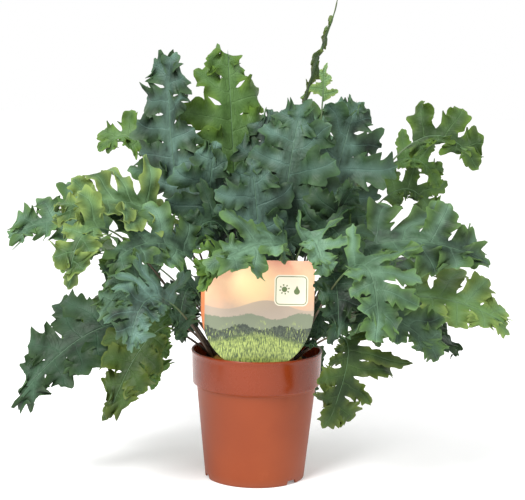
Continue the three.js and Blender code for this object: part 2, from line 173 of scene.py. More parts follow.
# Quads of a grid of rows by columns, facing (down the rows) x (along the columns).
def gridFaces(rows, columns, wrap=False):
    r, c = np.meshgrid(np.arange(rows - 1), np.arange(columns if wrap else columns - 1), indexing="ij")
    d = (c + 1) % columns
    quads = [r * columns + c, (r + 1) * columns + c, (r + 1) * columns + d, r * columns + d]
    return np.stack(quads, axis=-1).reshape(-1, 4)


# Joins points that coincide, and returns the places, the quads and the rows that were kept.
def joined(places, faces):
    _, kept, where = np.unique(np.round(places, 6), axis=0, return_index=True, return_inverse=True)
    return places[kept], where.reshape(-1)[faces], kept


# A unit normal at each point: the sum of the normals of the quads around it, made one long.
def pointNormals(places, faces):
    a, b, c, d = (places[faces[:, i]] for i in range(4))
    across = np.cross(c - a, d - b)
    normals = np.zeros_like(places)
    for i in range(4):
        np.add.at(normals, faces[:, i], across)
    return normals / np.maximum(np.linalg.norm(normals, axis=1, keepdims=True), 1e-12)


# The undirected edges that belong to only one quad, in the direction of that quad.
def openEdges(faces):
    edges = np.concatenate([faces[:, [i, (i + 1) % 4]] for i in range(4)])
    edges = edges[edges[:, 0] != edges[:, 1]]
    _, where, count = np.unique(np.sort(edges, axis=1), axis=0, return_inverse=True, return_counts=True)
    return edges[count[where.reshape(-1)] == 1]


# Each row made one long.
def unit(v):
    return v / np.linalg.norm(v, axis=-1, keepdims=True)


# 3 x^2 - 2 x^3 between 0 and 1, and flat outside
def smoothStep(x):
    x = np.clip(x, 0, 1)
    return x * x * (3 - 2 * x)


# Makes a piece: its mesh from places and faces, its materials, which face wears which, and marks,
# the attributes that its materials read at each point.
def addPiece(name, places, faces, finishes, wears=None, marks=None):
    mesh = bpy.data.meshes.new(name)
    lists = [list(dict.fromkeys(face)) for face in np.asarray(faces).tolist()]
    keep = [i for i, face in enumerate(lists) if len(face) > 2]
    mesh.from_pydata(np.asarray(places).tolist(), [], [lists[i] for i in keep])
    for finish in finishes:
        mesh.materials.append(finish)
    if wears is not None:
        mesh.polygons.foreach_set("material_index", np.asarray(wears, dtype=np.int32)[keep])
    for key, values in (marks or {}).items():
        values = np.asarray(values, dtype=np.float32)
        kind = "FLOAT_VECTOR" if values.ndim == 2 else "FLOAT"
        field = mesh.attributes.new(key, kind, "POINT")
        field.data.foreach_set("vector" if kind == "FLOAT_VECTOR" else "value", values.ravel())
    mesh.polygons.foreach_set("use_smooth", np.ones(len(mesh.polygons), dtype=bool))
    mesh.update()
    made = bpy.data.objects.new(name, mesh)
    bpy.context.scene.collection.objects.link(made)
    return made


# Stands a camera or lamp at a place, with its right side, top and back turned as given.
def stand(made, right, above, back, place):
    made.matrix_world = Matrix([[right[i], above[i], back[i], place[i]] for i in range(3)] + [[0, 0, 0, 1]])
    bpy.context.scene.collection.objects.link(made)


# Puts a piece on the plant's one body, and hides the plain nodes it stands for.
def settle(piece, slot, *nodes):
    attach(piece, "root")
    if nodes:
        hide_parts(*nodes)


# The camera, found by fitting the rim, neck and foot of the pot.
camera = {
    "place": (3.48 * mm, -1400 * mm, 408.4 * mm),
    "pitch": 0.1407,  # looks down by this angle, in radians
    "roll": 0.0193,
    "focalPixels": 1554.8,  # focal length on a picture 525 pixels wide
    "pictureWidth": 525,
}


def addCamera():
    data = bpy.data.cameras.new("camera")
    data.sensor_width = 36
    data.lens = camera["focalPixels"] * data.sensor_width / camera["pictureWidth"]
    data.clip_end = 60
    made = bpy.data.objects.new("camera", data)
    p, r = camera["pitch"], camera["roll"]
    level, rise = np.array([1.0, 0, 0]), np.array([0, math.sin(p), math.cos(p)])
    right = math.cos(r) * level + math.sin(r) * rise
    above = math.cos(r) * rise - math.sin(r) * level
    stand(made, right, above, np.cross(right, above), camera["place"])
    bpy.context.scene.camera = made


addCamera()
print("camera set")


# The pot: heights, radii from its axis and widths in millimetres, angles in degrees.
pot = {
    "height": 118.5, "rim": 60.0, "collarFoot": 58.5, "collarHeight": 30.0,
    "neck": 54.6, "neckStep": 3.1, "base": 45.6, "wall": 1.2, "floor": 1.6,
    "pad": 30.0, "slope": 2.5, "recess": 3.6, "footWidth": 1.5,
    "columns": 180, "notches": 3, "notchWidth": 12.0, "firstNotch": -42.0, "notchEdge": 0.5,
    "clearColumns": 1.3,  # other columns keep this angle away from the edge of a notch
    "holes": 6, "holeRadius": 2.4, "holeRing": 38.5, "firstHole": -12.0,
    "drill": (0.5, 12.0), "drillSides": 24,  # from and to this height
    "sharpAngle": 50,
}


# Half of the pot's section as (radius, height): from the middle of the foot out, up the side over the
# step of the collar and the rim, and down the inside to the middle of the floor.
def potLines():
    neckZ = pot["height"] - pot["collarHeight"] - pot["neckStep"]
    collarZ = pot["height"] - pot["collarHeight"]
    ringFloor = pot["recess"] + pot["floor"]
    recessOuter = pot["base"] - pot["footWidth"]
    top, rim, wall = pot["height"], pot["rim"], pot["wall"]

    def side(z):
        return pot["base"] + (pot["neck"] - pot["base"]) * z / neckZ

    return [
        (0, 0.0), (pot["pad"] - 1, 0.0), (pot["pad"], 0.0), (pot["pad"] + pot["slope"], pot["recess"]),
        (recessOuter - 0.5, pot["recess"]), (recessOuter, pot["recess"] - 0.4), (recessOuter, 0.3),
        (recessOuter + 0.3, 0.0), (pot["base"] - 0.5, 0.0), (pot["base"] - 0.15, 0.15), (side(0.6), 0.6),
        (side(4), 4), (side(5), 5), (side(20), 20), (side(45), 45), (side(70), 70),
        (side(neckZ - 0.8), neckZ - 0.8), (side(neckZ), neckZ), (pot["neck"] + 0.5, neckZ + 0.4),
        (pot["collarFoot"] - 0.9, collarZ - 1.1), (pot["collarFoot"] - 0.25, collarZ - 0.6),
        (pot["collarFoot"], collarZ + 0.2), (pot["collarFoot"] + 0.3, collarZ + 8),
        (rim - 0.75, top - 6), (rim - 0.5, top - 2.6), (rim - 0.15, top - 2.1), (rim, top - 1.5),
        (rim, top - 0.6), (rim - 0.2, top - 0.15), (rim - 0.6, top), (rim - wall - 0.3, top),
        (rim - wall - 0.6, top - 0.2), (rim - wall - 0.75, top - 0.8),
        (pot["collarFoot"] - wall, collarZ), (pot["neck"] - wall, neckZ),
        (side(ringFloor) - wall, ringFloor), (pot["pad"] + pot["slope"] - 0.9, ringFloor),
        (pot["pad"] - 0.9, pot["floor"]), (0, pot["floor"]),
    ]


# Surface of revolution: point = (r(row) cos a, r(row) sin a, z(row)). In a notch, the rows of the
# foot ring rise to the recess, with z = z + (recess - z) * how deep the angle lies in the notch.
def potSurface():
    lines = np.array(potLines())
    angles = np.linspace(0, 360, pot["columns"], endpoint=False)
    halfNotch = math.degrees(pot["notchWidth"] / 2 / pot["base"])
    for i in range(pot["notches"]):
        middle = pot["firstNotch"] + 360 * i / pot["notches"]
        for edge in (-halfNotch, halfNotch):
            ends = middle + edge + np.array([-pot["notchEdge"], 0.0]) * np.sign(-edge)
            near = np.abs((angles - ends.mean() + 180) % 360 - 180) < pot["clearColumns"]
            angles = np.concatenate([angles[~near], ends % 360])
    angles = np.sort(angles)
    depth = np.zeros_like(angles)
    for i in range(pot["notches"]):
        away = np.abs((angles - pot["firstNotch"] - 360 * i / pot["notches"] + 180) % 360 - 180)
        depth = np.maximum(depth, np.clip((halfNotch - away) / pot["notchEdge"] + 0.02, 0, 1))
    r, z = lines[:, :1] + 0 * angles, lines[:, 1:] + 0 * angles
    foot = (lines[:, 1:] < pot["recess"]) & (lines[:, :1] > pot["pad"] + pot["slope"])
    z = np.where(foot, z + (pot["recess"] - z) * depth, z)
    a = np.radians(angles)
    places = np.stack([r * np.cos(a), r * np.sin(a), z], axis=-1).reshape(-1, 3) * mm
    return joined(places, gridFaces(len(lines), len(angles), wrap=True)[:, ::-1])


# The pot with its drain holes: cylinders are cut out of the surface with a Boolean modifier.
def buildPot(finish):
    places, faces, _ = potSurface()
    made = addPiece("potShell", places, faces, [finish])
    for i in range(pot["holes"]):
        a = math.radians(pot["firstHole"] + 360 * i / pot["holes"])
        turn = np.radians(np.arange(0, 360, 360 / pot["drillSides"]))
        x = pot["holeRing"] * math.cos(a) + pot["holeRadius"] * np.cos(turn)
        y = pot["holeRing"] * math.sin(a) + pot["holeRadius"] * np.sin(turn)
        ends = [np.stack([x, y, 0 * x + z], axis=1) for z in pot["drill"]]
        n = len(turn)
        cutter = bpy.data.meshes.new("drill")
        rings = [list(range(n))[::-1], list(range(n, 2 * n))]
        cutter.from_pydata((np.concatenate(ends) * mm).tolist(), [],
                           rings + [[j, (j + 1) % n, (j + 1) % n + n, j + n] for j in range(n)])
        drill = bpy.data.objects.new("drill", cutter)
        bpy.context.scene.collection.objects.link(drill)
        cut = made.modifiers.new("hole", "BOOLEAN")
        cut.operation, cut.object, cut.solver = "DIFFERENCE", drill, "EXACT"
        bpy.context.view_layer.update()
        drilled = bpy.data.meshes.new_from_object(made.evaluated_get(bpy.context.evaluated_depsgraph_get()))
        made.modifiers.clear()
        made.data = drilled
        bpy.data.objects.remove(drill)
    made.data.set_sharp_from_angle(angle=math.radians(pot["sharpAngle"]))
    settle(made, "pot_plastic", "pot")


potLook = {
    "body": "#7f3309", "warm": "#86390f", "collar": "#772a02", "scuff": "#9c5329", "dust": "#7d4630",
    "bodyRoughness": 0.46, "collarRoughness": 0.27, "specular": 0.36,
    "collarFrom": (87, 88.2), "dustHeight": 9,  # millimetres
    "driftScale": 14, "grainScale": 900, "flowScale": 60, "relief": 0.12, "reliefHeight": 0.4,
}


# Moulded plastic: two browns that drift into each other, flow marks, a glossier redder collar and
# dust near the foot.
def potFinish():
    f = Finish("terracottaPlastic")
    z = f.objectPlace()[2]
    low, high = potLook["collarFrom"]
    collar = z.step(low * mm, high * mm)
    drift = f.noise(potLook["driftScale"], 3)
    grain = f.noise(potLook["grainScale"], 2)
    flow = f.noise(potLook["flowScale"], 4, roughness=0.6)
    colour = f.mix(tint(potLook["body"]), tint(potLook["warm"]), drift.step(0.35, 0.7))
    colour = f.mix(colour, tint(potLook["collar"]), collar * (0.75 + 0.2 * drift))
    scuffs = flow.step(0.62, 0.8) * 0.18 + grain.step(0.6, 0.75) * 0.08
    colour = f.mix(colour, tint(potLook["scuff"]), scuffs * (1 - 0.6 * collar))
    dust = 1 - z.step(0.0, potLook["dustHeight"] * mm)
    colour = f.mix(colour, tint(potLook["dust"]), dust * 0.35)
    roughness = potLook["bodyRoughness"] + (potLook["collarRoughness"] - potLook["bodyRoughness"]) * collar
    roughness = roughness + 0.12 * (flow - 0.5) + 0.05 * (grain - 0.5)
    bumps = f.bump(grain * 0.35 + flow * 0.65, potLook["relief"], potLook["reliefHeight"] * mm)
    return f.wear(colour=colour, roughness=roughness, specular=potLook["specular"], normal=bumps)


buildPot(potFinish())
print("pot built")


# The soil: a mound with an uneven top, and loose crumbs on it.
soil = {
    "top": 106.0, "mound": 2.0, "bumpHeight": 1.1, "rings": 44, "columns": 150, "gap": 0.35,
    "moundRadii": (0, 13, 26, 38, 50, 58), "moundShares": (1, 1, 0.7, 0.2, 0, -0.4),
    "waves": 14, "waveLength": (3.5, 16),
    "crumbs": 620, "crumbSize": (0.7, 2.6), "crumbRing": 55.5, "seed": 11,
}


# Uneven ground: the sum of sine waves of random direction, length and phase, about 1 high.
def groundWaves(x, y, rng):
    total = 0 * x
    shortest, longest = soil["waveLength"]
    for _ in range(soil["waves"]):
        angle, length = rng.uniform(0, np.pi), rng.uniform(shortest, longest)
        phase = rng.uniform(0, 2 * np.pi)
        along = x * np.cos(angle) + y * np.sin(angle)
        total = total + length / longest * np.sin(along * 2 * np.pi / length + phase)
    return total / 3.2


# Height of the soil: top + mound that falls off with the radius + waves that fade at the pot's wall.
def soilHeight(x, y):
    r = np.hypot(x, y)
    mound = soil["mound"] * np.interp(r, soil["moundRadii"], soil["moundShares"])
    waves = groundWaves(x, y, np.random.default_rng(soil["seed"]))
    return soil["top"] - 0.6 + mound + soil["bumpHeight"] * waves * np.clip((57.5 - r) / 4, 0.2, 1)


# A plug of soil: the top is height(x, y) on rings of growing radius, the side follows the pot's inside.
def buildSoil(finish):
    inset = pot["wall"] + soil["gap"]
    neckZ = pot["height"] - pot["collarHeight"] - pot["neckStep"]
    collarZ = pot["height"] - pot["collarHeight"]
    ring = pot["recess"] + pot["floor"] + 0.3
    foot = pot["base"] + (pot["neck"] - pot["base"]) * ring / neckZ - inset
    below = [(0, pot["floor"] + 0.3), (pot["pad"] - 0.9, pot["floor"] + 0.3), (pot["pad"] + 1.6, ring),
             (foot, ring), (pot["neck"] - inset, neckZ), (pot["collarFoot"] - inset, collarZ)]
    edge = pot["collarFoot"] - inset + 0.3
    angles = np.linspace(0, 2 * np.pi, soil["columns"], endpoint=False)
    low = np.array([[(r * np.cos(a), r * np.sin(a), z) for a in angles] for r, z in below])
    radii = edge * np.linspace(1, 0, soil["rings"])[:, None]
    x, y = radii * np.cos(angles), radii * np.sin(angles)
    high = np.stack([x, y, soilHeight(x, y)], axis=-1)
    places = np.concatenate([low, high]).reshape(-1, 3) * mm
    grid = gridFaces(len(below) + soil["rings"], soil["columns"], wrap=True)[:, ::-1]
    places, faces, _ = joined(places, grid)
    settle(addPiece("soilPlug", places, faces, [finish]), "potting_soil", "soil")


# Twelve corners and twenty faces of an icosahedron.
def icosahedron():
    g = (1 + 5 ** 0.5) / 2
    first = [(s, t * g, 0) for s in (-1, 1) for t in (-1, 1)]
    second, third = [(0, a, b) for a, b, _ in first], [(b, 0, a) for a, b, _ in first]
    corners = np.array(first + second + third, float)
    corners /= np.linalg.norm(corners[0])
    near = np.linalg.norm(corners[:, None] - corners[None], axis=-1) < 1.1
    faces = [(i, j, k) for i in range(12) for j in range(i + 1, 12) for k in range(j + 1, 12)
             if near[i, j] and near[j, k] and near[i, k]]
    faces = np.array(faces)
    a, b, c = (corners[faces[:, i]] for i in range(3))
    inwards = np.einsum("ij,ij->i", np.cross(b - a, c - a), a + b + c) < 0
    faces[inwards] = faces[inwards][:, ::-1]
    return corners, faces


# Crumbs: icosahedra stretched and dented at random, half sunk into the soil.
def buildCrumbs(finish):
    rng = np.random.default_rng(soil["seed"] + 1)
    corners, faces = icosahedron()
    n = soil["crumbs"]
    size = rng.uniform(*soil["crumbSize"], n) * rng.uniform(0.6, 1, n)
    r, a = soil["crumbRing"] * np.sqrt(rng.uniform(0, 1, n)), rng.uniform(0, 2 * np.pi, n)
    x, y = r * np.cos(a), r * np.sin(a)
    middle = np.stack([x, y, soilHeight(x, y) + 0.1 * size], axis=1)
    stretch = rng.uniform(0.6, 1.2, (n, 1, 3)) * rng.uniform(0.8, 1.15, (n, 12, 1))
    places = (middle[:, None] + corners[None] * stretch * size[:, None, None]).reshape(-1, 3) * mm
    every = (faces[None] + 12 * np.arange(n)[:, None, None]).reshape(-1, 3)
    settle(addPiece("soilCrumbs", places, every, [finish]), "potting_soil")


soilLook = {
    "deep": "#120e0b", "peat": "#2f241b", "crumb": "#4a3828", "bits": "#7a6247", "roughness": 0.85,
    "clodScale": 160, "crumbScale": 700, "bitScale": 420, "relief": 0.9, "reliefHeight": 1.2,
}


# Dark peat: two noises for clods and crumbs, and a third for a few pale bits of fibre.
def soilFinish():
    f = Finish("darkPeat")
    coarse = f.noise(soilLook["clodScale"], 5, roughness=0.7)
    fine = f.noise(soilLook["crumbScale"], 4, roughness=0.7)
    bits = f.noise(soilLook["bitScale"], 1)
    colour = f.mix(tint(soilLook["deep"]), tint(soilLook["peat"]), coarse.step(0.35, 0.75))
    colour = f.mix(colour, tint(soilLook["crumb"]), fine.step(0.55, 0.8) * 0.5)
    colour = f.mix(colour, tint(soilLook["bits"]), bits.step(0.7, 0.76) * 0.6)
    bumps = f.bump(coarse * 0.6 + fine * 0.4, soilLook["relief"], soilLook["reliefHeight"] * mm)
    return f.wear(colour=colour, roughness=soilLook["roughness"] + 0.1 * fine, normal=bumps)


peat = soilFinish()
buildSoil(peat)
buildCrumbs(peat)
print("soil built")


# Each creeping stem: radius and angle around the pot at both ends, and how far its tip rears up.
rhizomes = {
    "rhizome_1": {"start": (33, 172), "end": (49, 237), "rise": 8.5, "gold": 0.9},
    "rhizome_2": {"start": (32, 256), "end": (37, 334), "rise": 1.0, "gold": 0.3},
    "rhizome_3": {"start": (36, 350), "end": (40, 424), "rise": 2.0, "gold": 0.4},
    "rhizome_4": {"start": (38, 81), "end": (34, 154), "rise": 2.0, "gold": 0.25},
    "rhizome_5": {"start": (12, 200), "end": (17, 405), "rise": 0.0, "gold": 0.2},
}
stem = {
    "radius": 4.5, "raise": 1.5, "rows": 70, "sides": 24, "scales": 420, "scaleLength": (1.6, 4.2),
    "scaleHalf": (0.22, 0.45), "scaleLean": (0.15, 0.7), "scaleTurn": 2.1, "scaleRoot": -0.3, "seed": 50,
    "bark": "#4a2f17", "lightBark": "#8a6128", "golden": "#d9a63c", "shadow": "#2e1c10",
    "barkScale": 180, "fibreScale": 900, "relief": 0.6, "reliefHeight": 0.6,
}


# Middle of a rhizome: radius and angle go evenly from start to end, z = ground + rise * share^3.
def stemAt(look, share):
    share = np.asarray(share, float)
    radius = look["start"][0] + (look["end"][0] - look["start"][0]) * share
    angle = np.radians(look["start"][1] + (look["end"][1] - look["start"][1]) * share)
    z = soil["top"] + stem["raise"] + look["rise"] * share ** 3
    return np.stack([radius * np.cos(angle), radius * np.sin(angle), z + 0 * share], axis=-1)


# Its direction, from the places a hundredth before and after.
def stemTangent(look, share):
    return unit(stemAt(look, np.asarray(share) + 0.01) - stemAt(look, np.asarray(share) - 0.01))


# Radius: full in the middle, and over the last radius at each end it falls off as a quarter circle.
def stemRadius(look, share):
    length = np.linalg.norm(stemAt(look, 1.0) - stemAt(look, 0.0))
    toEnd = np.minimum(share, 1 - share) * length / stem["radius"]
    return stem["radius"] * np.sqrt(np.clip(1 - 0.9 * np.clip(1 - toEnd, 0, 1) ** 2, 0, 1))


# Places on the stem: middle(share) + radius * bulge * (cos(turn) * above + sin(turn) * across).
def onStem(look, share, turn, lift=0.0):
    share = np.asarray(share, float)
    along = stemTangent(look, share)
    across = unit(np.cross(along, upwards))
    above = np.cross(across, along)
    bulge = 1 + 0.06 * np.sin(31 * share + 3 * np.sin(turn)) + 0.05 * np.sin(3 * turn + 19 * share)
    radius = (stemRadius(look, share) * bulge + lift)[..., None]
    outward = np.cos(turn)[..., None] * above + np.sin(turn)[..., None] * across
    return stemAt(look, share) + radius * outward, outward, along


# A stem with its scales: slim three-sided spikes, rooted in it and lying along it towards its tip.
def buildRhizome(name, look, skin, hair, seed):
    share = 0.5 - 0.5 * np.cos(np.linspace(0, np.pi, stem["rows"]))
    turn = np.linspace(0, 2 * np.pi, stem["sides"], endpoint=False)
    s, t = np.meshgrid(share, turn, indexing="ij")
    tube, _, _ = onStem(look, s, t)
    tube[0], tube[-1] = stemAt(look, share[0]), stemAt(look, share[-1])
    places, faces, _ = joined(tube.reshape(-1, 3) * mm, gridFaces(*s.shape, wrap=True)[:, ::-1])
    body = addPiece(name.replace("_", "Stem"), places, faces, [skin])
    settle(body, "rhizome", name)
    rng = np.random.default_rng(seed)
    n = stem["scales"]
    share = rng.uniform(0.01, 0.99, n)
    turn = rng.uniform(-stem["scaleTurn"], stem["scaleTurn"], n)
    root, outward, along = onStem(look, share, turn, stem["scaleRoot"])
    side = np.cross(along, outward)
    length = rng.uniform(*stem["scaleLength"], n)[:, None]
    lean = rng.uniform(*stem["scaleLean"], n)[:, None]
    aim = unit(along + lean * outward + rng.normal(0, 0.35, (n, 1)) * side)
    half = rng.uniform(*stem["scaleHalf"], n)[:, None]
    corners = [root + side * half, root - side * half, root + outward * half * 0.8, root + aim * length]
    spikes = np.stack(corners, axis=1).reshape(-1, 3) * mm
    four = np.array([(0, 1, 2), (0, 3, 1), (1, 3, 2), (2, 3, 0)])
    every = (four[None] + 4 * np.arange(n)[:, None, None]).reshape(-1, 3)
    a, b, c = (spikes[every[:, i]] for i in range(3))
    inwards = np.einsum("ij,ij->i", np.cross(b - a, c - a), (a + b + c) / 3 - np.repeat(
        spikes.reshape(-1, 4, 3).mean(axis=1), 4, axis=0)) < 0
    every[inwards] = every[inwards][:, ::-1]
    settle(addPiece(name.replace("_", "Scales"), spikes, every, [hair]), "rhizome")


# Bark from dark to light brown, with as much gold as given, and dark fibres.
def rhizomeFinish(name, gold):
    f = Finish(name)
    coarse = f.noise(stem["barkScale"], 4, roughness=0.65)
    fibre = f.noise(stem["fibreScale"], 3)
    colour = f.mix(tint(stem["bark"]), tint(stem["lightBark"]), coarse.step(0.3, 0.7))
    colour = f.mix(colour, tint(stem["golden"]), (gold * (0.6 + 0.6 * coarse)).least(1.0))
    colour = f.mix(colour, tint(stem["shadow"]), fibre.step(0.6, 0.8) * 0.5)
    bumps = f.bump(fibre * 0.5 + coarse, stem["relief"], stem["reliefHeight"] * mm)
    return f.wear(colour=colour, roughness=0.55 + 0.3 * fibre, normal=bumps)


for number, (name, look) in enumerate(rhizomes.items()):
    skin = rhizomeFinish("stemSkin" + str(number + 1), look["gold"])
    hair = rhizomeFinish("stemScales" + str(number + 1), min(1.0, look["gold"] + 0.15))
    buildRhizome(name, look, skin, hair, stem["seed"] + number)
print("rhizomes built")


# The label: a card with a stake. Half widths and heights in millimetres.
label = {
    "y": -49.0, "thickness": 0.8, "top": 208.0, "half": 50.0, "sideFoot": 166.0, "corner": 6.0,
    "rimHalf": 24.0, "rimHeight": 116.0,
    "stakeHalf": 9.0, "stakeTop": 104.0, "stakeFoot": 80.0, "point": 6.0,
}


# A cubic curve between two points with two handles, without its last point.
def curve(a, b, c, d, count=14):
    t = np.linspace(0, 1, count, endpoint=False)[:, None]
    a, b, c, d = (np.array(p, float) for p in (a, b, c, d))
    return (1 - t) ** 3 * a + 3 * t * (1 - t) ** 2 * b + 3 * t * t * (1 - t) * c + t ** 3 * d


# The right half of the outline, from the stake's point up to the top, is mirrored for the left half.
def labelOutline():
    half, top, corner, foot = label["half"], label["top"], label["corner"], label["stakeFoot"]
    stake, stakeTop = label["stakeHalf"], label["stakeTop"]
    rimHalf, rimZ = label["rimHalf"], label["rimHeight"]
    right = np.concatenate([
        np.array([(0.0, foot), (stake, foot + label["point"])]),
        curve((stake, stakeTop), (stake + 1, stakeTop + 5), (rimHalf - 8, rimZ - 5), (rimHalf, rimZ), 8),
        curve((rimHalf, rimZ), (0.76 * half, rimZ + 7), (half, rimZ + 24), (half, label["sideFoot"]), 20),
        curve((half, top - corner), (half, top - 0.4 * corner), (half - 0.4 * corner, top),
              (half - corner, top), 8),
        np.array([(half - corner, top)]),
    ])
    left = right[:0:-1] * (-1, 1)
    return np.concatenate([right, left])


# A flat card: the outline as a front and a back face, and quads around its edge.
def buildLabel(printed, plain):
    outline = labelOutline()
    n = len(outline)
    y = 0 * outline[:, 0] + label["y"] - label["thickness"] / 2
    front = np.stack([outline[:, 0], y, outline[:, 1]], axis=1)
    back = front + (0, label["thickness"], 0)
    mesh = bpy.data.meshes.new("labelCard")
    rim = [[i, i + n, (i + 1) % n + n, (i + 1) % n] for i in range(n)]
    mesh.from_pydata((np.concatenate([front, back]) * mm).tolist(), [],
                     [list(range(n)), list(range(2 * n - 1, n - 1, -1))] + rim)
    mesh.materials.append(printed)
    mesh.materials.append(plain)
    mesh.polygons.foreach_set("material_index", np.array([0] + [1] * (n + 1), dtype=np.int32))
    mesh.update()
    made = bpy.data.objects.new("labelCard", mesh)
    bpy.context.scene.collection.objects.link(made)
    settle(made, "label_card", "plant_label")


# 1 where a hilly outline z = height + wave lies above the place, drawn with a soft edge.
def hill(x, z, height, size, length, shift, edge=0.5):
    wave = (x * (2 * math.pi / length) + shift).sine() * size
    wave = wave + (x * (5.1 / length) + 2 * shift).sine() * (size * 0.5)
    return (wave + height - z).step(-edge, edge)


# The picture on the card, in millimetres: x to the right, z up from the table.
labelLook = {
    "skyStops": ((0.0, "#b9a08c"), (0.35, "#e3b48f"), (0.6, "#f0c39a"), (1.0, "#e9a183")),
    "skyFoot": 160, "skyHeight": 48, "glow": "#f7d79c", "glowAt": (-4, 186), "glowRadii": (4.0, 30.0),
    "hills": {  # height, size of the waves, their length and their shift
        "far": (168, 3.0, 70, 0.7), "middle": (158, 2.6, 46, 2.1), "near": (148, 2.2, 36, 4.4),
        "meadow": (138, 3.0, 88, 1.2), "stalks": (148, 4.0, 27, 0.4),
    },
    "farHill": "#a79a8a", "middleHill": "#6f7b62", "nearHill": ("#2c352c", "#4c5944"),
    "grass": ("#47592f", "#a9b860"), "stalks": "#9fae63", "band": "#cf7a45", "bandEdge": -46.6,
    "panel": "#eee6cf", "signs": "#5f7340",
    "panelAt": (29.5, 181.5), "panelHalf": (10, 9), "panelRound": (4.6, 5.1), "panelLine": 3.4,
    "sunAt": (23.5, 182.5), "sunRadii": (2.3, 2.6), "rayRadii": (3.0, 3.2, 4.5, 4.7), "rays": 8,
    "dropAt": (34.5, 180.6), "dropRadii": (2.5, 2.8), "dropTop": 5.2,
    "back": ("#e9e5da", "#d3cfc2"), "backScale": 220,
    "mottleScale": 150, "leafyScale": 420, "relief": 0.04, "reliefHeight": 0.2,
}


# A made-up evening view: sky with a glow, three hills, a meadow and stalks, painted in turn.
def eveningView(f, x, z, mottle, leafy):
    stops = [(place, tint(code)) for place, code in labelLook["skyStops"]]
    height = (z - labelLook["skyFoot"]) / labelLook["skyHeight"] + (mottle - 0.5) * 0.25
    sky = f.node("ValToRGB", {"stops": stops}, {0: height})
    gx, gz = labelLook["glowAt"]
    glow = 1 - (((x - gx) ** 2 + (z - gz) ** 2) ** 0.5).step(*labelLook["glowRadii"])
    colour = f.mix(sky, tint(labelLook["glow"]), glow * 0.75)
    ragged = (leafy - 0.5) * 7
    # upright streaks, each about half a millimetre wide and leaning a little, for the grass
    lean = (x * 0.4 + 1).sine() * (z - 126) * 0.09
    streak = f.noise(1.0, 3, f.node("CombineXYZ", None, {0: (x + lean) * 1.5, 2: z * 0.2}))
    hills = labelLook["hills"]
    far = hill(x, z, *hills["far"])
    middle = hill(x, z + ragged * 0.6, *hills["middle"])
    near = hill(x, z + ragged, *hills["near"])
    meadow = hill(x, z + (streak - 0.5) * 26, *hills["meadow"], 1.0)
    colour = f.mix(colour, tint(labelLook["farHill"]), far * 0.8)
    colour = f.mix(colour, tint(labelLook["middleHill"]), middle * 0.9)
    dark, light = (tint(code) for code in labelLook["nearHill"])
    colour = f.mix(colour, f.mix(dark, light, leafy.step(0.4, 0.7)), near)
    dark, light = (tint(code) for code in labelLook["grass"])
    grass = f.mix(dark, light, (streak * 0.7 + leafy * 0.3).step(0.42, 0.6))
    colour = f.mix(colour, grass, meadow)
    stalks = streak.step(0.55, 0.6) * hill(x, z + ragged, *hills["stalks"], 2.5)
    return f.mix(colour, tint(labelLook["stalks"]), stalks * 0.7)


# A plain panel with rounded corners, a thin line inside its edge, a sun and a drop.
def panelSigns(f, x, z, colour):
    px, pz = abs(x - labelLook["panelAt"][0]), abs(z - labelLook["panelAt"][1])
    width, height = labelLook["panelHalf"]
    away = ((px - width).most(0.0) ** 2 + (pz - height).most(0.0) ** 2) ** 0.5
    panel = 1 - away.step(*labelLook["panelRound"])
    line = 1 - abs(away - labelLook["panelLine"]).step(0.2, 0.5)
    inside = (px - width).most(pz - height).step(-0.2, 0.2)
    colour = f.mix(colour, tint(labelLook["panel"]), panel)
    ink = tint(labelLook["signs"])
    colour = f.mix(colour, ink, line * inside)
    sx, sz = x - labelLook["sunAt"][0], z - labelLook["sunAt"][1]
    away = (sx * sx + sz * sz) ** 0.5
    disc = 1 - away.step(*labelLook["sunRadii"])
    turn = f.node("Math", {"operation": "ARCTAN2"}, {0: sz, 1: sx})
    a, b, c, d = labelLook["rayRadii"]
    rays = away.step(a, b) * (1 - away.step(c, d)) * (turn * labelLook["rays"]).sine().step(0.3, 0.5)
    colour = f.mix(colour, ink, disc.most(rays))
    dx, dz = abs(x - labelLook["dropAt"][0]), z - labelLook["dropAt"][1]
    ball = 1 - ((dx * dx + dz * dz) ** 0.5).step(*labelLook["dropRadii"])
    cone = (1 - (dx + (dz - labelLook["dropTop"]) * 0.46).step(0.0, 0.25)) * dz.step(0.6, 0.9)
    return f.mix(colour, ink, ball.most(cone))


# The evening view, a plain band along its left side, and the panel.
def labelPrint():
    f = Finish("labelPrint")
    place = f.objectPlace()
    x, z = place[0] * (1 / mm), place[2] * (1 / mm)
    mottle = f.noise(labelLook["mottleScale"], 4)
    leafy = f.noise(labelLook["leafyScale"], 3, roughness=0.7)
    colour = eveningView(f, x, z, mottle, leafy)
    band = 1 - (x - labelLook["bandEdge"]).step(-0.3, 0.3)
    colour = panelSigns(f, x, z, f.mix(colour, tint(labelLook["band"]), band))
    bumps = f.bump(leafy, labelLook["relief"], labelLook["reliefHeight"] * mm)
    return f.wear(colour=colour, roughness=0.33 + 0.08 * mottle, normal=bumps)


# Plain off-white card for the back and the edges.
def labelBack():
    f = Finish("labelBack")
    mottle = f.noise(labelLook["backScale"], 4)
    light, shade = (tint(code) for code in labelLook["back"])
    colour = f.mix(light, shade, mottle.step(0.4, 0.7))
    return f.wear(colour=colour, roughness=0.5 + 0.1 * mottle, normal=f.bump(mottle, 0.05, 0.2 * mm))


buildLabel(labelPrint(), labelBack())
print("label built")


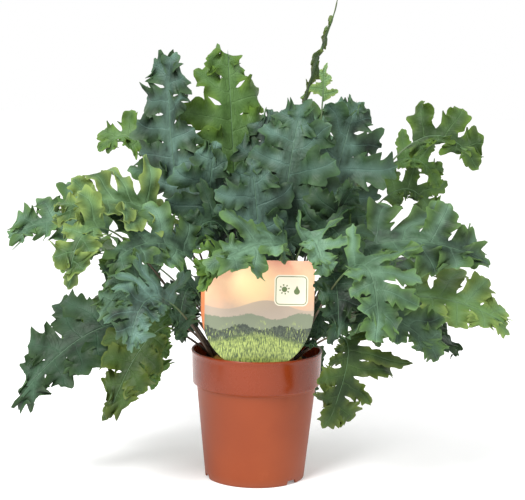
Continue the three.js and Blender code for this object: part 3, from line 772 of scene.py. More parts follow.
# How the lobes of a leaf are shaped: teeth on each side, their depth as a share of the half width,
# how blunt the tip is, how far the lobe bulges, how high its margins ruffle, how far it curls down,
# the roughness of the margin between teeth, and how much it sways, nods and twists at random.
leafShapes = {
    "broad": {"teeth": 2.2, "depth": 0.45, "blunt": 3.2, "bulge": 0.58, "ruffle": 0.5, "curl": 1.0,
              "serration": 0.02, "wild": 1.0},
    "open": {"teeth": 2.4, "depth": 0.5, "blunt": 3.0, "bulge": 0.4, "ruffle": 0.6, "curl": 1.1,
             "serration": 0.02, "wild": 1.3},
    "toothed": {"teeth": 2.6, "depth": 0.6, "blunt": 2.6, "bulge": 0.52, "ruffle": 0.45, "curl": 0.85,
                "serration": 0.02, "wild": 1.1},
    "pointed": {"teeth": 2.4, "depth": 0.8, "blunt": 1.9, "bulge": 0.4, "ruffle": 0.4, "curl": 0.6,
                "serration": 0.015, "wild": 1.2},
    "serrate": {"teeth": 3.4, "depth": 0.42, "blunt": 2.5, "bulge": 0.52, "ruffle": 0.35, "curl": 0.7,
                "serration": 0.035, "wild": 0.9},
    "slim": {"teeth": 2.0, "depth": 0.2, "blunt": 2.2, "bulge": 0.05, "ruffle": 0.2, "curl": 0.2,
             "serration": 0.03, "wild": 0.2},
}

# One row per frond: rhizome, share of its length, the point that the stalk's arch bends under, the
# tip, where on the arch the blade begins, half the blade's width, lobes on each side, where its
# upper face looks, its colour and its shape. Millimetres.
viewer = (0, -1, 0.3)
skyward = (0, 0, 1)
fronds = {
    "centre_front": (5, 0.6, (68, -26, 270), (-39, -104, 209), 0.52, 40, 4,
        (0.1, -0.7, 0.7), "sea", "toothed"),
    "right_big": (5, 0.8, (67, -37, 269), (203, -38, 209), 0.38, 56, 5,
        (0, -0.7, 0.7), "sea", "toothed"),
    "left_light": (5, 0.06, (-84, -40, 308), (-176, -78, 244), 0.42, 52, 6,
        (0, -0.52, 0.85), "pale", "broad"),
    "far_right": (3, 0.22, (121, -28, 214), (228, -32, 149), 0.48, 42, 4,
        (0, -0.6, 0.8), "pale", "serrate"),
    "left_low_big": (1, 0.26, (-128, -32, 198), (-214, -52, 74), 0.4, 50, 5,
        (-0.3, -0.8, 0.5), "dark", "toothed"),
    "pale_blue": (1, 0.66, (-96, -123, 236), (-105, -136, 144), 0.34, 38, 6,
        (-0.1, -0.9, 0.4), "blue", "pointed"),
    "olive_low": (1, 0.56, (-84, -64, 202), (-128, -88, 72), 0.5, 34, 4,
        (-0.3, -0.9, 0.2), "olive", "serrate"),
    "hang_right": (2, 0.84, (109, -80, 194), (63, -70, 64), 0.42, 42, 5,
        (0.1, -0.9, 0.2), "olive", "serrate"),
    "right_front": (2, 0.94, (99, -106, 289), (101, -134, 156), 0.4, 46, 5,
        (0.2, -0.9, 0.4), "sea", "toothed"),
    "far_left": (1, 0.16, (-142, 0, 278), (-224, -14, 219), 0.5, 42, 4,
        (0, -0.6, 0.8), "sea", "pointed"),
    "curl_right": (3, 0.455, (134, 52, 391), (200, 22, 287), 0.55, 34, 3,
        (0.2, -0.9, 0.4), "leaf", "broad"),
    "upright_blue": (4, 0.86, (-92, 22, 261), (-85, 45, 386), 0.45, 34, 5,
        (-0.5, -0.8, 0.2), "blue", "toothed"),
    "upright_green": (4, 0.4, (-24, 35, 280), (-33, 70, 393), 0.42, 46, 5,
        (0.3, -0.9, 0.2), "leaf", "open"),
    "top_middle": (5, 0.7, (18, -24, 265), (37, 10, 343), 0.38, 48, 5,
        (-0.2, -0.9, 0.3), "blue", "toothed"),
    "top_right": (3, 0.37, (63, 2, 267), (89, 42, 348), 0.38, 52, 5,
        (0.3, -0.8, 0.2), "blue", "pointed"),
    "wiry": (5, 0.94, (-4, 5, 240), (68, 25, 434), 0.72, 9, 3,
        (1, -0.4, 0), "olive", "slim"),
    "juvenile": (3, 0.69, (55, 60, 250), (59, 82, 378), 0.86, 11, 2,
        viewer, "pale", "slim"),
    "hang_far_right": (3, 0.53, (131, 70, 335), (168, 78, 226), 0.5, 36, 4,
        (0.2, -0.9, 0.4), "leaf", "serrate"),
    "right_low": (3, 0.14, (95, -77, 207), (158, -88, 132), 0.42, 38, 4,
        (0.1, -0.7, 0.7), "sea", "toothed"),
    "left_light_low": (1, 0.36, (-152, -93, 317), (-158, -118, 192), 0.55, 34, 3,
        (-0.3, -0.9, 0.3), "pale", "broad"),
    "left_back_curl": (4, 0.71, (-104, 74, 362), (-152, 80, 290), 0.56, 30, 3,
        (-0.2, -0.8, 0.5), "leaf", "broad"),
    "left_mid": (5, 0.14, (-66, -54, 274), (-132, -92, 202), 0.42, 46, 4,
        (-0.1, -0.8, 0.6), "sea", "toothed"),
    "left_upright": (4, 0.93, (-55, -8, 229), (-40, -8, 308), 0.42, 38, 4,
        (0.2, -0.9, 0.3), "blue", "broad"),
    "centre_upright": (2, 0.3, (3, -22, 222), (-8, -34, 296), 0.42, 36, 4,
        viewer, "blue", "toothed"),
    "right_of_label": (3, 0.06, (73, -33, 262), (70, -88, 141), 0.5, 30, 4,
        (0.1, -0.9, 0.3), "dark", "toothed"),
    "rim_right": (2, 0.77, (38, -34, 142), (52, -46, 131), 0.35, 13, 3,
        (0.3, -0.7, 0.6), "dark", "toothed"),
    "middle_right": (5, 0.87, (58, -8, 222), (84, -40, 276), 0.42, 36, 4,
        (0.4, -0.8, 0.3), "dark", "toothed"),
    "back_high_left": (4, 0.56, (-62, 80, 302), (-114, 152, 284), 0.42, 46, 5,
        skyward, "sea", "broad"),
    "back_high_right": (4, 0.06, (50, 92, 292), (94, 170, 262), 0.42, 46, 5,
        skyward, "leaf", "toothed"),
    "back_middle": (4, 0.24, (-5, 110, 268), (8, 198, 208), 0.4, 48, 5,
        skyward, "blue", "pointed"),
    "back_left": (4, 0.78, (-112, 66, 238), (-192, 114, 176), 0.42, 46, 5,
        skyward, "leaf", "toothed"),
    "back_right": (3, 0.78, (112, 72, 234), (192, 120, 166), 0.42, 46, 5,
        skyward, "sea", "toothed"),
    "back_low": (4, 0.32, (-25, 112, 196), (-38, 194, 104), 0.42, 44, 5,
        (0, 0.7, 0.7), "dark", "toothed"),
    "back_low_right": (3, 0.94, (72, 104, 186), (126, 172, 90), 0.42, 44, 5,
        (0.3, 0.6, 0.7), "leaf", "serrate"),
    "back_low_left": (4, 0.64, (-82, 92, 184), (-144, 150, 86), 0.42, 44, 5,
        (-0.3, 0.6, 0.7), "sea", "broad"),
    "back_hanging": (4, 0.15, (38, 110, 166), (52, 114, 50), 0.42, 38, 4,
        (0.2, 0.9, 0.2), "dark", "serrate"),
    "right_side": (3, 0.31, (122, 16, 198), (190, 36, 108), 0.42, 40, 5,
        (0.2, -0.2, 0.9), "dark", "toothed"),
    "left_side": (1, 0.07, (-118, 20, 196), (-186, 44, 104), 0.42, 42, 5,
        (-0.2, -0.2, 0.9), "leaf", "toothed"),
    "inner_back_right": (3, 0.86, (38, 66, 236), (64, 122, 334), 0.42, 40, 4,
        (0.4, -0.6, 0.6), "sea", "toothed"),
    "inner_back_left": (4, 0.48, (-34, 58, 250), (-44, 120, 338), 0.42, 40, 4,
        (-0.4, -0.6, 0.6), "leaf", "broad"),
    "left_of_label": (1, 0.86, (-64, -43, 236), (-69, -66, 139), 0.38, 34, 5,
        (-0.1, -0.9, 0.3), "dark", "toothed"),
    "over_label_left": (2, 0.08, (-24, 7, 269), (-48, -92, 189), 0.6, 22, 3,
        (0, -0.9, 0.4), "leaf", "toothed"),
    "over_label_right": (2, 0.5, (41, -38, 286), (57, -78, 201), 0.5, 34, 4,
        (0.2, -0.9, 0.3), "sea", "toothed"),
    "spiky_left": (5, 0.4, (-7, 22, 249), (8, 52, 335), 0.42, 38, 4,
        (-0.2, -0.9, 0.3), "blue", "pointed"),
    "curl_right_low": (3, 0.605, (121, 80, 358), (170, 62, 266), 0.6, 28, 3,
        (0.2, -0.9, 0.3), "leaf", "serrate"),
    "inner_left": (5, 0.3, (-27, -12, 305), (-71, -42, 204), 0.45, 38, 4,
        (-0.1, -0.9, 0.4), "dark", "toothed"),
    "inner_right": (2, 0.69, (55, -31, 302), (80, -60, 204), 0.45, 38, 4,
        (0.2, -0.9, 0.4), "dark", "toothed"),
    "left_fill": (1, 0.94, (-97, -46, 234), (-139, -66, 153), 0.45, 34, 4,
        (-0.1, -0.8, 0.5), "sea", "toothed"),
    "right_fill": (2, 0.62, (60, -49, 229), (113, -46, 144), 0.42, 36, 4,
        (0.1, -0.8, 0.4), "dark", "toothed"),
    "low_left_mid": (5, 0.22, (-105, -54, 209), (-89, -52, 92), 0.46, 36, 4,
        (-0.1, -0.9, 0.3), "leaf", "serrate"),
    "fill_low_left": (1, 0.46, (-60, -13, 213), (-71, -16, 127), 0.4, 38, 4,
        (-0.1, -0.9, 0.3), "dark", "toothed"),
    "fill_low_right": (2, 0.14, (65, -11, 190), (53, -39, 138), 0.4, 32, 4,
        (0.1, -0.9, 0.3), "dark", "toothed"),
}
blade = {
    "stalk": 1.1, "midrib": 0.75, "tip": 0.3, "thickness": 0.5,
    "sunk": 0.85,  # how far the midrib sinks under the leaf, as a share of its radius
    "wing": 0.22,  # share of a lobe's length that stays joined to its neighbours
    "slant": 0.28, "fold": 0.14, "rise": 0.28, "crowding": 2.2, "spread": 0.13,  # as in the CAD leaf
    "fan": 0.5,  # how much more the lobes near the tip point ahead
    "fanMiddle": 0.45, "slantSpread": 0.22,
    "shortest": 0.72,  # a crowded lobe keeps this share of its length
    "fullness": 1.25,  # how much longer than in the CAD leaf a lobe is along its curved axis
    "lengthSpread": (0.8, 1.12), "widthSpread": (0.86, 1.16),
    "wingRows": (0.0, 0.35, 0.7), "wingLeast": 1.2,
    "teethFrom": 0.08, "teethOver": 0.78,  # shares of the lobe's length
    "teethSpread": (0.85, 1.2), "toothShare": (0.25, 1.4),
    "rows": 20,
    "columns": (-1, -0.9, -0.74, -0.5, -0.25, 0, 0.25, 0.5, 0.74, 0.9, 1),
    "tubeRows": 64, "tubeSides": 9, "tubeEnd": 0.985, "seed": 1000,
}

# Ranges of the random turns of a lobe, in radians but for cup, waves and the share of its curl.
lobeTurns = {
    "curl": (-0.2, 1.4), "sweep": (-0.1, 0.45), "sway": 0.35, "nod": 0.5, "twist": 0.45,
    "cup": (-0.4, 0.3), "waves": (1.2, 2.2),
}


# A repeatable number from 0 to 1, as the CAD leaf has it: the fraction of 43758.5453 sin(12.9898 n).
def vary(n):
    wave = math.sin(n * 12.9898) * 43758.5453
    return wave - math.floor(wave)


# Length of a lobe at the share u of the blade, as in the CAD leaf: sin(pi (0.16 + 0.76 u)^0.8).
def lobeShare(u):
    return math.sin(math.pi * (0.16 + 0.76 * u) ** 0.8)


# Where a stalk leaves its rhizome: on the stem's skin, on the side that the arch leans to.
def stalkFoot(look, share, over):
    middle, along = stemAt(look, share), stemTangent(look, share)
    lean = unit(over - middle)
    out = unit(lean - lean @ along * along)
    tilt = math.sqrt(max(0.0, 1 - (lean @ out) ** 2))
    return middle + out * (float(stemRadius(look, share)) + 0.3 + blade["stalk"] * tilt)


# The midrib and its three directions: P = (1-t)^2 foot + 2t(1-t) over + t^2 tip, along = P' made
# one long, above = face less its part along the midrib, across = along x above. The blade is cut
# into equal steps of t, three to a lobe, and on one side the lobes stand a step nearer the tip.
class Arch:
    def __init__(self, row):
        rhizome, share, over, tip = row[:4]
        self.over, self.tip = np.array(over, float), np.array(tip, float)
        self.foot = stalkFoot(rhizomes["rhizome_" + str(rhizome)], share, self.over)
        self.bladeFrom, self.half, self.lobes = row[4:7]
        self.face = unit(np.array(row[7], float))
        self.step = (1 - self.bladeFrom) / (3 * self.lobes + 2)

    def point(self, t):
        t = np.asarray(t, float)[..., None]
        return (1 - t) ** 2 * self.foot + 2 * t * (1 - t) * self.over + t * t * self.tip

    def along(self, t):
        t = np.asarray(t, float)[..., None]
        return unit((1 - t) * (self.over - self.foot) + t * (self.tip - self.over))

    def frame(self, t):
        along = self.along(t)
        above = unit(self.face - (along @ self.face)[..., None] * along)
        return along, above, np.cross(along, above)

    # how much the midrib turns sideways per millimetre
    def bend(self, t):
        before, after = max(0.0, t - 0.02), min(1.0, t + 0.02)
        turn = self.along(after) - self.along(before)
        return turn @ self.frame(t)[2] / np.linalg.norm(self.point(after) - self.point(before))


# How far the CAD leaf reaches along a ray: the furthest of its corners that lie near the ray.
def reachAlong(corners, origin, aim, near):
    away = corners - origin
    along = away @ aim
    aside = np.linalg.norm(away - along[:, None] * aim, axis=1)
    found = along[(aside < near) & (along > 0)]
    return found.max() if len(found) else 0.0


# Height of the teeth of one margin along a lobe: each tooth rises slowly and falls fast, as
# sin(pi x^1.6) over its own length x, and has its own share of the full height.
def toothHeights(q, teeth, rng):
    place = (q - blade["teethFrom"]) / blade["teethOver"] * teeth * rng.uniform(*blade["teethSpread"])
    place = place + rng.uniform(0, 0.5)
    which = np.clip(np.floor(place).astype(int), 0, 7)
    share = rng.uniform(*blade["toothShare"], 8)[which]
    rise = np.sin(np.pi * (place - np.floor(place)) ** 1.6)
    return share * rise * smoothStep(q / 0.15) * (1 - smoothStep((q - 0.82) / 0.18))


# A lobe as a surface of q (neck to tip, the rows) and c (-1 to 1, the columns). Its axis starts
# along aim and turns by yaw towards side and by pitch away from normal: axis = integral of the
# turned aim times length dq, and side and normal twist about it. A place is axis(q) + c * width(q)
# * side + teeth + lift * normal, with width = half (0.5 + bulge sin(pi (q / 0.97)^1.05)) sqrt(1 -
# q^blunt) and lift = width (ruffle |c|^1.8 sin(2 pi waves q + phase) + cup c^2 + 0.1 |c|). Near the
# neck it blends into the given base row. The marks are the distance from the lobe's vein, the
# distance from the neck, and 0 inside to 1 at the margin.
def lobeSurface(base, aim, side, normal, length, half, shape, rng):
    q = 1 - (1 - np.linspace(0, 1, blade["rows"])) ** 1.25
    c = np.array(blade["columns"], float)
    qs, cs = q[:, None], c[None, :]
    curl = shape["curl"] * rng.uniform(*lobeTurns["curl"])
    sweep = rng.uniform(*lobeTurns["sweep"])
    sway = shape["wild"] * rng.uniform(-lobeTurns["sway"], lobeTurns["sway"])
    nod = shape["wild"] * rng.uniform(-lobeTurns["nod"], lobeTurns["nod"])
    twist = shape["wild"] * rng.normal(0, lobeTurns["twist"])
    pitch = -curl * q ** 1.2 + nod * np.sin(2 * np.pi * q)
    yaw = sweep * q + sway * np.sin(1.5 * np.pi * q)
    flat = np.cos(yaw)[:, None] * aim + np.sin(yaw)[:, None] * side
    aside = np.cos(yaw)[:, None] * side - np.sin(yaw)[:, None] * aim
    ahead = np.cos(pitch)[:, None] * flat + np.sin(pitch)[:, None] * normal
    out = np.cos(pitch)[:, None] * normal - np.sin(pitch)[:, None] * flat
    turned = np.cos(twist * q)[:, None] * aside + np.sin(twist * q)[:, None] * out
    out = np.cos(twist * q)[:, None] * out - np.sin(twist * q)[:, None] * aside
    steps = np.diff(q)[:, None] * length * 0.5 * (ahead[1:] + ahead[:-1])
    axis = np.concatenate([np.zeros((1, 3)), np.cumsum(steps, axis=0)])
    taper = np.sqrt(np.clip(1 - q ** shape["blunt"], 0.003, 1))
    width = half * (0.5 + shape["bulge"] * np.sin(np.pi * np.minimum(1, q / 0.97) ** 1.05)) * taper
    edge = np.abs(cs) ** 2.2
    margin = (c > 0).astype(int)
    teeth = np.stack([toothHeights(q, shape["teeth"], rng) for _ in range(2)], axis=1)[:, margin]
    height = shape["depth"] * half * teeth * edge * np.sqrt(taper)[:, None]
    jag = shape["serration"] * half * rng.normal(0, 1, (len(q), len(c))) * edge * taper[:, None]
    waves = rng.uniform(*lobeTurns["waves"], 2)[margin][None, :]
    phase = rng.uniform(0, 2 * np.pi, 2)[margin][None, :]
    ramp = smoothStep(qs / 0.3)
    ruffle = shape["ruffle"] * np.abs(cs) ** 1.8 * np.sin(2 * np.pi * waves * qs + phase) * ramp
    cup = rng.uniform(*lobeTurns["cup"])
    lift = width[:, None] * (ruffle + cup * cs ** 2 * ramp + 0.1 * np.abs(cs))
    offset = cs * width[:, None] + np.sign(cs) * (height + jag)
    lobe = offset[..., None] * turned[:, None] + lift[..., None] * out[:, None]
    lobe = lobe + (0.8 * height)[..., None] * ahead[:, None]
    blend = smoothStep(qs / 0.22)[..., None]
    middle = base[len(c) // 2]
    places = middle + axis[:, None] + (1 - blend) * (base - middle)[None] + blend * lobe
    across = np.abs(cs) * width[:, None]
    rim = np.maximum(np.abs(cs) * smoothStep(qs / 0.12), smoothStep((qs - 0.8) / 0.2))
    marks = np.stack([across, qs * length + 0 * cs, rim], axis=-1)
    return places, marks


# Corners of a frond's CAD leaf, in millimetres.
def cadCorners(name):
    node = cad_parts["frond_" + name].data
    corners = np.empty(3 * len(node.vertices))
    node.vertices.foreach_get("co", corners)
    return corners.reshape(-1, 3) / mm


# The lobes on one side of the blade (hand is 1 or -1), from its foot to its tip: how far each reaches,
# how far it leans ahead and how far it rises off the leaf. A lobe's own reach is half * lobeShare(u) *
# a repeatable factor. It is divided by 1 + crowding * bend * own on the inside of a bend, and cut
# where the CAD leaf is short.
def planLobes(arch, corners, hand, seed, rng):
    shift = 0 if hand > 0 else 1
    midrib = arch.point(np.linspace(0, 1, 200))
    pitch = np.linalg.norm(np.diff(midrib, axis=0), axis=1).sum() * (1 - arch.bladeFrom) / arch.lobes
    fan = blade["fan"] * (np.linspace(0, 1, arch.lobes) - blade["fanMiddle"])
    slants = blade["slant"] + fan + rng.uniform(-blade["slantSpread"], blade["slantSpread"], arch.lobes)
    reaches, rises = [], []
    for lobe in range(arch.lobes):
        t = arch.bladeFrom + (3 * lobe + 2 + shift) * arch.step
        along, above, across = arch.frame(t)
        own = arch.half * lobeShare((lobe + 0.5) / arch.lobes) * (0.85 + 0.3 * vary(seed + 7 * lobe + hand))
        crowd = 1 / (1 + blade["crowding"] * max(0.0, hand * arch.bend(t)) * own)
        rise = blade["fold"] + blade["rise"] * math.sin(2.4 * lobe + 1.7 * hand + seed)
        aim = hand * across + blade["slant"] * along + rise * above
        size = np.linalg.norm(aim)
        origin = arch.point(t) + along * blade["spread"] * pitch * crowd
        reach = reachAlong(corners, origin, aim / size, 2.5 + 0.05 * own) / size
        free = min(1.0, max(blade["shortest"], reach / (crowd * own)))
        reaches.append(free * crowd * own * rng.uniform(*blade["lengthSpread"]))
        rises.append(rise)
    return reaches, slants, rises


# A lobe with its part of the wing, the leaf along the midrib: a grid of t along and y out from the
# midrib, P(t) + y (across + slant along) + fold y above. At its ends y is half way to the next lobes'.
def wingWithLobe(arch, hand, lobe, plan, shape, rng):
    reaches, slants, rises = plan
    c = np.array(blade["columns"], float)
    long = reaches[lobe]
    before = reaches[lobe - 1] if lobe else 0.1 * long
    after = reaches[lobe + 1] if lobe + 1 < arch.lobes else 0.55 * long
    shift = 0 if hand > 0 else 1
    t = arch.bladeFrom + (3 * lobe + 1.5 + shift + 1.5 * c) * arch.step
    y = blade["wing"] * (long + (np.where(c < 0, before, after) - long) * 0.5 * np.abs(c))
    y = np.maximum(y, blade["wingLeast"])
    along, above, across = arch.frame(t)
    outwards = hand * across + blade["slant"] * along + blade["fold"] * above
    wing = [arch.point(t) + outwards * (y * k)[:, None] for k in blade["wingRows"]]
    base = arch.point(t) + outwards * y[:, None]
    middle = len(c) // 2
    aim = unit(hand * across[middle] + slants[lobe] * along[middle] + rises[lobe] * above[middle])
    side = unit(along[middle] - along[middle] @ aim * aim)
    length = blade["fullness"] * long * (1 - blade["wing"])
    half = 0.5 * np.linalg.norm(arch.point(t[-1]) - arch.point(t[0])) * rng.uniform(*blade["widthSpread"])
    places, lobeMarks = lobeSurface(base, aim, side, hand * np.cross(aim, side), length, half, shape, rng)
    toVein = np.stack([np.minimum(np.abs(c) * half, y * k) for k in blade["wingRows"]])
    toNeck = np.stack([y * k - y[middle] for k in blade["wingRows"]])
    wingMarks = np.stack([toVein, toNeck, 0 * toVein], axis=-1)
    return np.concatenate([np.stack(wing), places]), np.concatenate([wingMarks, lobeMarks])


# The lobe at the tip goes on along the midrib.
def tipLobe(arch, last, shape, rng):
    c = np.array(blade["columns"], float)
    t = arch.bladeFrom + (3 * arch.lobes - 0.6) * arch.step
    along, above, across = arch.frame(t)
    base = arch.point(t) + across * (c * 0.2 * last)[:, None] + above * (np.abs(c) * 0.03 * last)[:, None]
    length = max(1.15 * np.linalg.norm(arch.tip - arch.point(t)), 0.5 * last)
    half = 0.5 * last if arch.half > 20 else 0.3 * arch.half
    return lobeSurface(base, along, across, above, length, half, shape, rng)


# The upper side of a frond: the lobes on the one side of its midrib, on the other, and at its tip.
def frondSheet(name, row, seed):
    arch = Arch(row)
    shape = leafShapes[row[9]]
    rng = np.random.default_rng(blade["seed"] + seed)
    corners = cadCorners(name)
    grids = []
    for hand in (1, -1):
        plan = planLobes(arch, corners, hand, seed, rng)
        for lobe in range(arch.lobes):
            grids.append((hand, *wingWithLobe(arch, hand, lobe, plan, shape, rng)))
    grids.append((-1, *tipLobe(arch, plan[0][-1], shape, rng)))
    sheets, marks, quads, count = [], [], [], 0
    for hand, sheet, sheetMarks in grids:
        faces = gridFaces(*sheet.shape[:2])
        quads.append((faces if hand > 0 else faces[:, ::-1]) + count)
        sheets.append(sheet.reshape(-1, 3))
        marks.append(sheetMarks.reshape(-1, 3))
        count += len(sheets[-1])
    return arch, np.concatenate(sheets), np.concatenate(quads), np.concatenate(marks)


# The stalk and midrib: a tube along the arch, its radius falling from foot to blade to tip, which
# sinks under the leaf where the blade begins.
def stalkTube(arch):
    t = np.linspace(0, blade["tubeEnd"], blade["tubeRows"])
    radii = [1.5 * blade["stalk"], blade["stalk"], blade["midrib"], blade["tip"]]
    radius = np.interp(t, [0, 0.06, arch.bladeFrom, 1], radii)
    radius[0], radius[-1] = 0, 0
    along, above, across = arch.frame(t)
    turn = np.linspace(0, 2 * np.pi, blade["tubeSides"], endpoint=False)[None, :, None]
    ring = np.cos(turn) * above[:, None] + np.sin(turn) * across[:, None]
    sunk = blade["sunk"] * radius * smoothStep((t - arch.bladeFrom) / 0.06)
    middle = arch.point(t) - above * sunk[:, None]
    middle[0] -= along[0] * 0.8
    tube = middle[:, None] + ring * radius[:, None, None]
    marks = np.stack([t / arch.bladeFrom, t, 0 * t], axis=-1)[:, None] + 0 * tube
    return tube.reshape(-1, 3), gridFaces(len(t), blade["tubeSides"], wrap=True), marks.reshape(-1, 3)


# Leaf with thickness: the lower shell lies one thickness below the upper one along the normals,
# and a rim of quads joins the two along the open edges, which are kept sharp. Each frond has a tone
# of its own.
def buildFrond(name, row, seed, finishes):
    arch, sheet, quads, marks = frondSheet(name, row, seed)
    upper, faces, kept = joined(sheet * mm, quads)
    marks = marks[kept]
    normals = pointNormals(upper, faces)
    lower = upper - normals * blade["thickness"] * mm
    n = len(upper)
    a, b = openEdges(faces).T
    rim = np.stack([b, a, a + n, b + n], axis=1)
    tube, tubeFaces, tubeMarks = stalkTube(arch)
    tube, tubeFaces, tubeKept = joined(tube * mm, tubeFaces)
    places = np.concatenate([upper, lower, tube])
    every = np.concatenate([faces, faces[:, ::-1] + n, rim, tubeFaces + 2 * n])
    wears = np.repeat([0, 1, 0, 2], [len(faces), len(faces), len(rim), len(tubeFaces)])
    place = np.concatenate([marks, marks, tubeMarks[tubeKept]])
    tone = np.full(len(places), np.random.default_rng(seed).uniform(-1, 1))
    fields = {"leafPlace": place, "frondTone": tone}
    piece = addPiece("frond_leaf_" + name, places, every, finishes, wears, fields)
    pairs = np.empty(2 * len(piece.data.edges), dtype=np.int32)
    piece.data.edges.foreach_get("vertices", pairs)
    onRim = np.zeros(len(places), dtype=int)
    onRim[a], onRim[a + n] = 1, 2
    ends = onRim[pairs.reshape(-1, 2)]
    sharp = (ends[:, 0] == ends[:, 1]) & (ends[:, 0] > 0)
    crease = piece.data.attributes.new("sharp_edge", "BOOLEAN", "EDGE")
    crease.data.foreach_set("value", sharp)
    return piece


# Colours of a leaf: deep in its darker clouds, its side veins and the painted shade in the middle of
# the plant, body, bloom beside the veins, rim along the margin, and how strong the bloom and the rim are.
leafColours = {
    "blue": {"deep": "#111d15", "body": "#263b28", "bloom": "#638276", "rim": "#48653d", "bloomShare": 0.68,
             "rimShare": 0.5, "slot": "leaf_glaucous"},
    "sea": {"deep": "#142418", "body": "#2d462c", "bloom": "#68886f", "rim": "#628241", "bloomShare": 0.66,
            "rimShare": 0.55, "slot": "leaf_sea_green"},
    "leaf": {"deep": "#203513", "body": "#3b5824", "bloom": "#607e50", "rim": "#617c2d", "bloomShare": 0.45,
             "rimShare": 0.6, "slot": "leaf_green"},
    "pale": {"deep": "#253d16", "body": "#506c32", "bloom": "#6e8f68", "rim": "#859750", "bloomShare": 0.55,
             "rimShare": 0.7, "slot": "leaf_pale_green"},
    "dark": {"deep": "#0d170e", "body": "#1d301d", "bloom": "#415e48", "rim": "#354f23", "bloomShare": 0.5,
             "rimShare": 0.45, "slot": "leaf_dark_green"},
    "olive": {"deep": "#192a10", "body": "#2e4219", "bloom": "#465e31", "rim": "#566324", "bloomShare": 0.4,
              "rimShare": 0.65, "slot": "leaf_olive"},
}
leafLook = {
    "underside": "#58744f", "undersideShare": 0.35,
    "cloudScale": 38, "patchScale": 15, "puckerScale": 95, "mottleScale": 230, "poreScale": 1500,
    "veinSpacing": 1.55, "veinSlant": 1.1, "bloomWidth": (0.5, 8.5), "mainVein": 0.2, "sideVein": 0.25,
    # painted shade: leaves darken towards the deep colour around this middle, between these radii, by this
    # share
    "paintedShadeMiddle": (0.03, 0.2), "paintedShadeRadii": (0.04, 0.11), "paintedShadeShare": 0.45,  # metres
    "roughness": 0.5, "underRoughness": 0.62, "specular": 0.2, "relief": 0.8, "reliefHeight": 2.4,
}


# Leaf skin: clouds of deep and body colour, bloom that lies beside the veins and comes in patches, a
# yellower margin, side veins that are sines of place, and painted shade that darkens the leaves in the
# middle of the plant.
def leafFinish(name, look, under):
    f = Finish(name)
    across, out, rim = f.vectorAttribute("leafPlace")
    tone = f.attribute("frondTone")
    cloud = f.noise(leafLook["cloudScale"], 3)
    pucker = f.noise(leafLook["puckerScale"], 2)
    mottle = f.noise(leafLook["mottleScale"], 4, roughness=0.6)
    pores = f.noise(leafLook["poreScale"], 2)
    patch = f.noise(leafLook["patchScale"], 1)
    side = abs((out * leafLook["veinSpacing"] - across * leafLook["veinSlant"] + mottle * 1.2).sine())
    sideVein = (1 - side.step(0.05, 0.3)) * (1 - rim.step(0.5, 0.95))
    mainVein = 1 - across.step(0.15, 0.75)
    nearVein = 1 - across.step(*leafLook["bloomWidth"])
    light = (cloud + 0.2 * tone + 0.15).step(0.4, 0.8)
    colour = f.mix(tint(look["deep"]), tint(look["body"]), light)
    bloomy = (0.55 + 0.8 * patch.step(0.42, 0.62)) * look["bloomShare"]
    bloom = nearVein * (cloud * 1.5).step(0.35, 1.0) * bloomy + mottle.step(0.55, 0.8) * 0.12
    colour = f.mix(colour, tint(look["bloom"]), bloom)
    colour = f.mix(colour, tint(look["rim"]), (rim ** 2.0) * look["rimShare"] * (0.4 + cloud))
    colour = f.mix(colour, tint(look["deep"]), sideVein * leafLook["sideVein"])
    colour = f.mix(colour, tint(look["bloom"]), mainVein * leafLook["mainVein"])
    # Painted shade: leaves near the middle of the plant are mixed towards the deep colour, standing in for
    # the shade of the fronds around them.
    x, y, z = f.objectPlace()
    middleY, middleZ = leafLook["paintedShadeMiddle"]
    away = (x * x + (y - middleY) ** 2 + ((z - middleZ) * 0.8) ** 2) ** 0.5
    paintedShade = 1 - away.step(*leafLook["paintedShadeRadii"])
    colour = f.mix(colour, tint(look["deep"]), paintedShade * leafLook["paintedShadeShare"])
    if under:
        colour = f.mix(colour, tint(leafLook["underside"]), leafLook["undersideShare"] + 0.15 * cloud)
    relief = pucker + mottle * 0.14 + pores * 0.05 - sideVein * 0.09 - mainVein * 0.2
    bumps = f.bump(relief, leafLook["relief"], leafLook["reliefHeight"] * mm)
    roughness = leafLook["underRoughness"] if under else leafLook["roughness"]
    roughness = roughness + 0.16 * (mottle - 0.5) - 0.08 * mainVein
    return f.wear(colour=colour, roughness=roughness, specular=leafLook["specular"], normal=bumps)


stalkLook = {
    "stops": ((0.0, "#3a2417"), (0.45, "#4a3d2c"), (0.8, "#43582f"), (1.0, "#446142")),
    "bladeStop": 0.85,  # the place on the colour ramp where the blade begins
    "streakScale": 300, "relief": 0.3, "reliefHeight": 0.3,
}


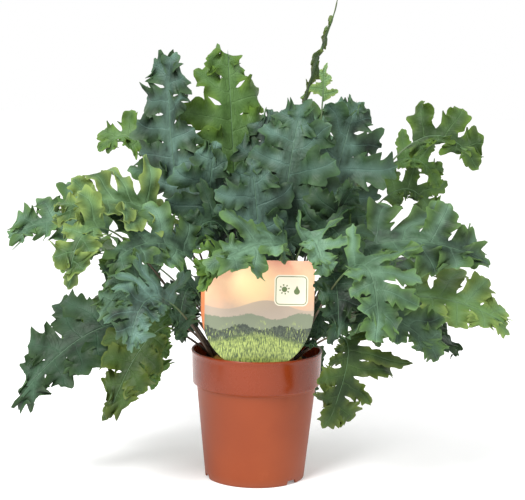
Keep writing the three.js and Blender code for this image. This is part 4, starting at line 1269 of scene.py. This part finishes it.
# Brown at the foot, green at the blade.
def stalkFinish():
    f = Finish("stalkSkin")
    share = f.vectorAttribute("leafPlace")[0]
    streak = f.noise(stalkLook["streakScale"], 3)
    stops = [(place, tint(code)) for place, code in stalkLook["stops"]]
    along = (share + (streak - 0.5) * 0.15) * stalkLook["bladeStop"]
    colour = f.node("ValToRGB", {"stops": stops}, {0: along})
    bumps = f.bump(streak, stalkLook["relief"], stalkLook["reliefHeight"] * mm)
    return f.wear(colour=colour, roughness=0.42 + 0.15 * streak, normal=bumps)


stalkSkin = stalkFinish()
leafSides = {key: (leafFinish(key + "Leaf", look, False), leafFinish(key + "Underside", look, True))
             for key, look in leafColours.items()}
for number, (name, row) in enumerate(fronds.items()):
    piece = buildFrond(name, row, number + 1, [*leafSides[row[8]], stalkSkin])
    settle(piece, leafColours[row[8]]["slot"], "frond_" + name)
print("fronds built:", len(fronds))


# A wide pale floor, white surroundings and two round soft lamps.
studio = {
    "floor": 12.0, "floorGlow": 0.2, "floorShades": (0.86, 0.9), "floorRoughness": 0.9,
    "worldStrength": 1.0, "aim": (0, 0, 0.2),
    "lamps": {  # place, width and watts
        "keyLight": ((-0.9, -1.3, 1.7), 1.1, 66.0),
        "fillLight": ((1.3, -0.9, 0.9), 1.2, 3.0),
    },
}


def buildStudio():
    half = studio["floor"] / 2
    f = Finish("paleFloor")
    cloud = f.noise(0.8, 2)
    dull, bright = ((shade, shade, shade, 1) for shade in studio["floorShades"])
    f.wear(colour=f.mix(dull, bright, cloud), roughness=studio["floorRoughness"])
    f.shader.inputs["Emission Color"].default_value = (1, 1, 1, 1)
    f.shader.inputs["Emission Strength"].default_value = studio["floorGlow"]
    corners = [(-half, -half, 0), (half, -half, 0), (half, half, 0), (-half, half, 0)]
    floor = addPiece("floor", np.array(corners) - (0, 0, 0.0002), [[0, 1, 2, 3]], [f.material])
    world = bpy.data.worlds.new("studio")
    bpy.context.scene.world = world
    world.use_nodes = True
    background = world.node_tree.nodes["Background"]
    background.inputs["Color"].default_value = (1, 1, 1, 1)
    background.inputs["Strength"].default_value = studio["worldStrength"]
    for name, (place, width, watts) in studio["lamps"].items():
        data = bpy.data.lights.new(name, "AREA")
        data.shape, data.size, data.energy = "DISK", width, watts
        lamp = bpy.data.objects.new(name, data)
        back = unit(np.array(place) - studio["aim"])
        side = unit(np.cross(upwards, back))
        stand(lamp, side, np.cross(back, side), back, place)
    bpy.context.scene.view_settings.view_transform = "Standard"


buildStudio()
print("studio built")
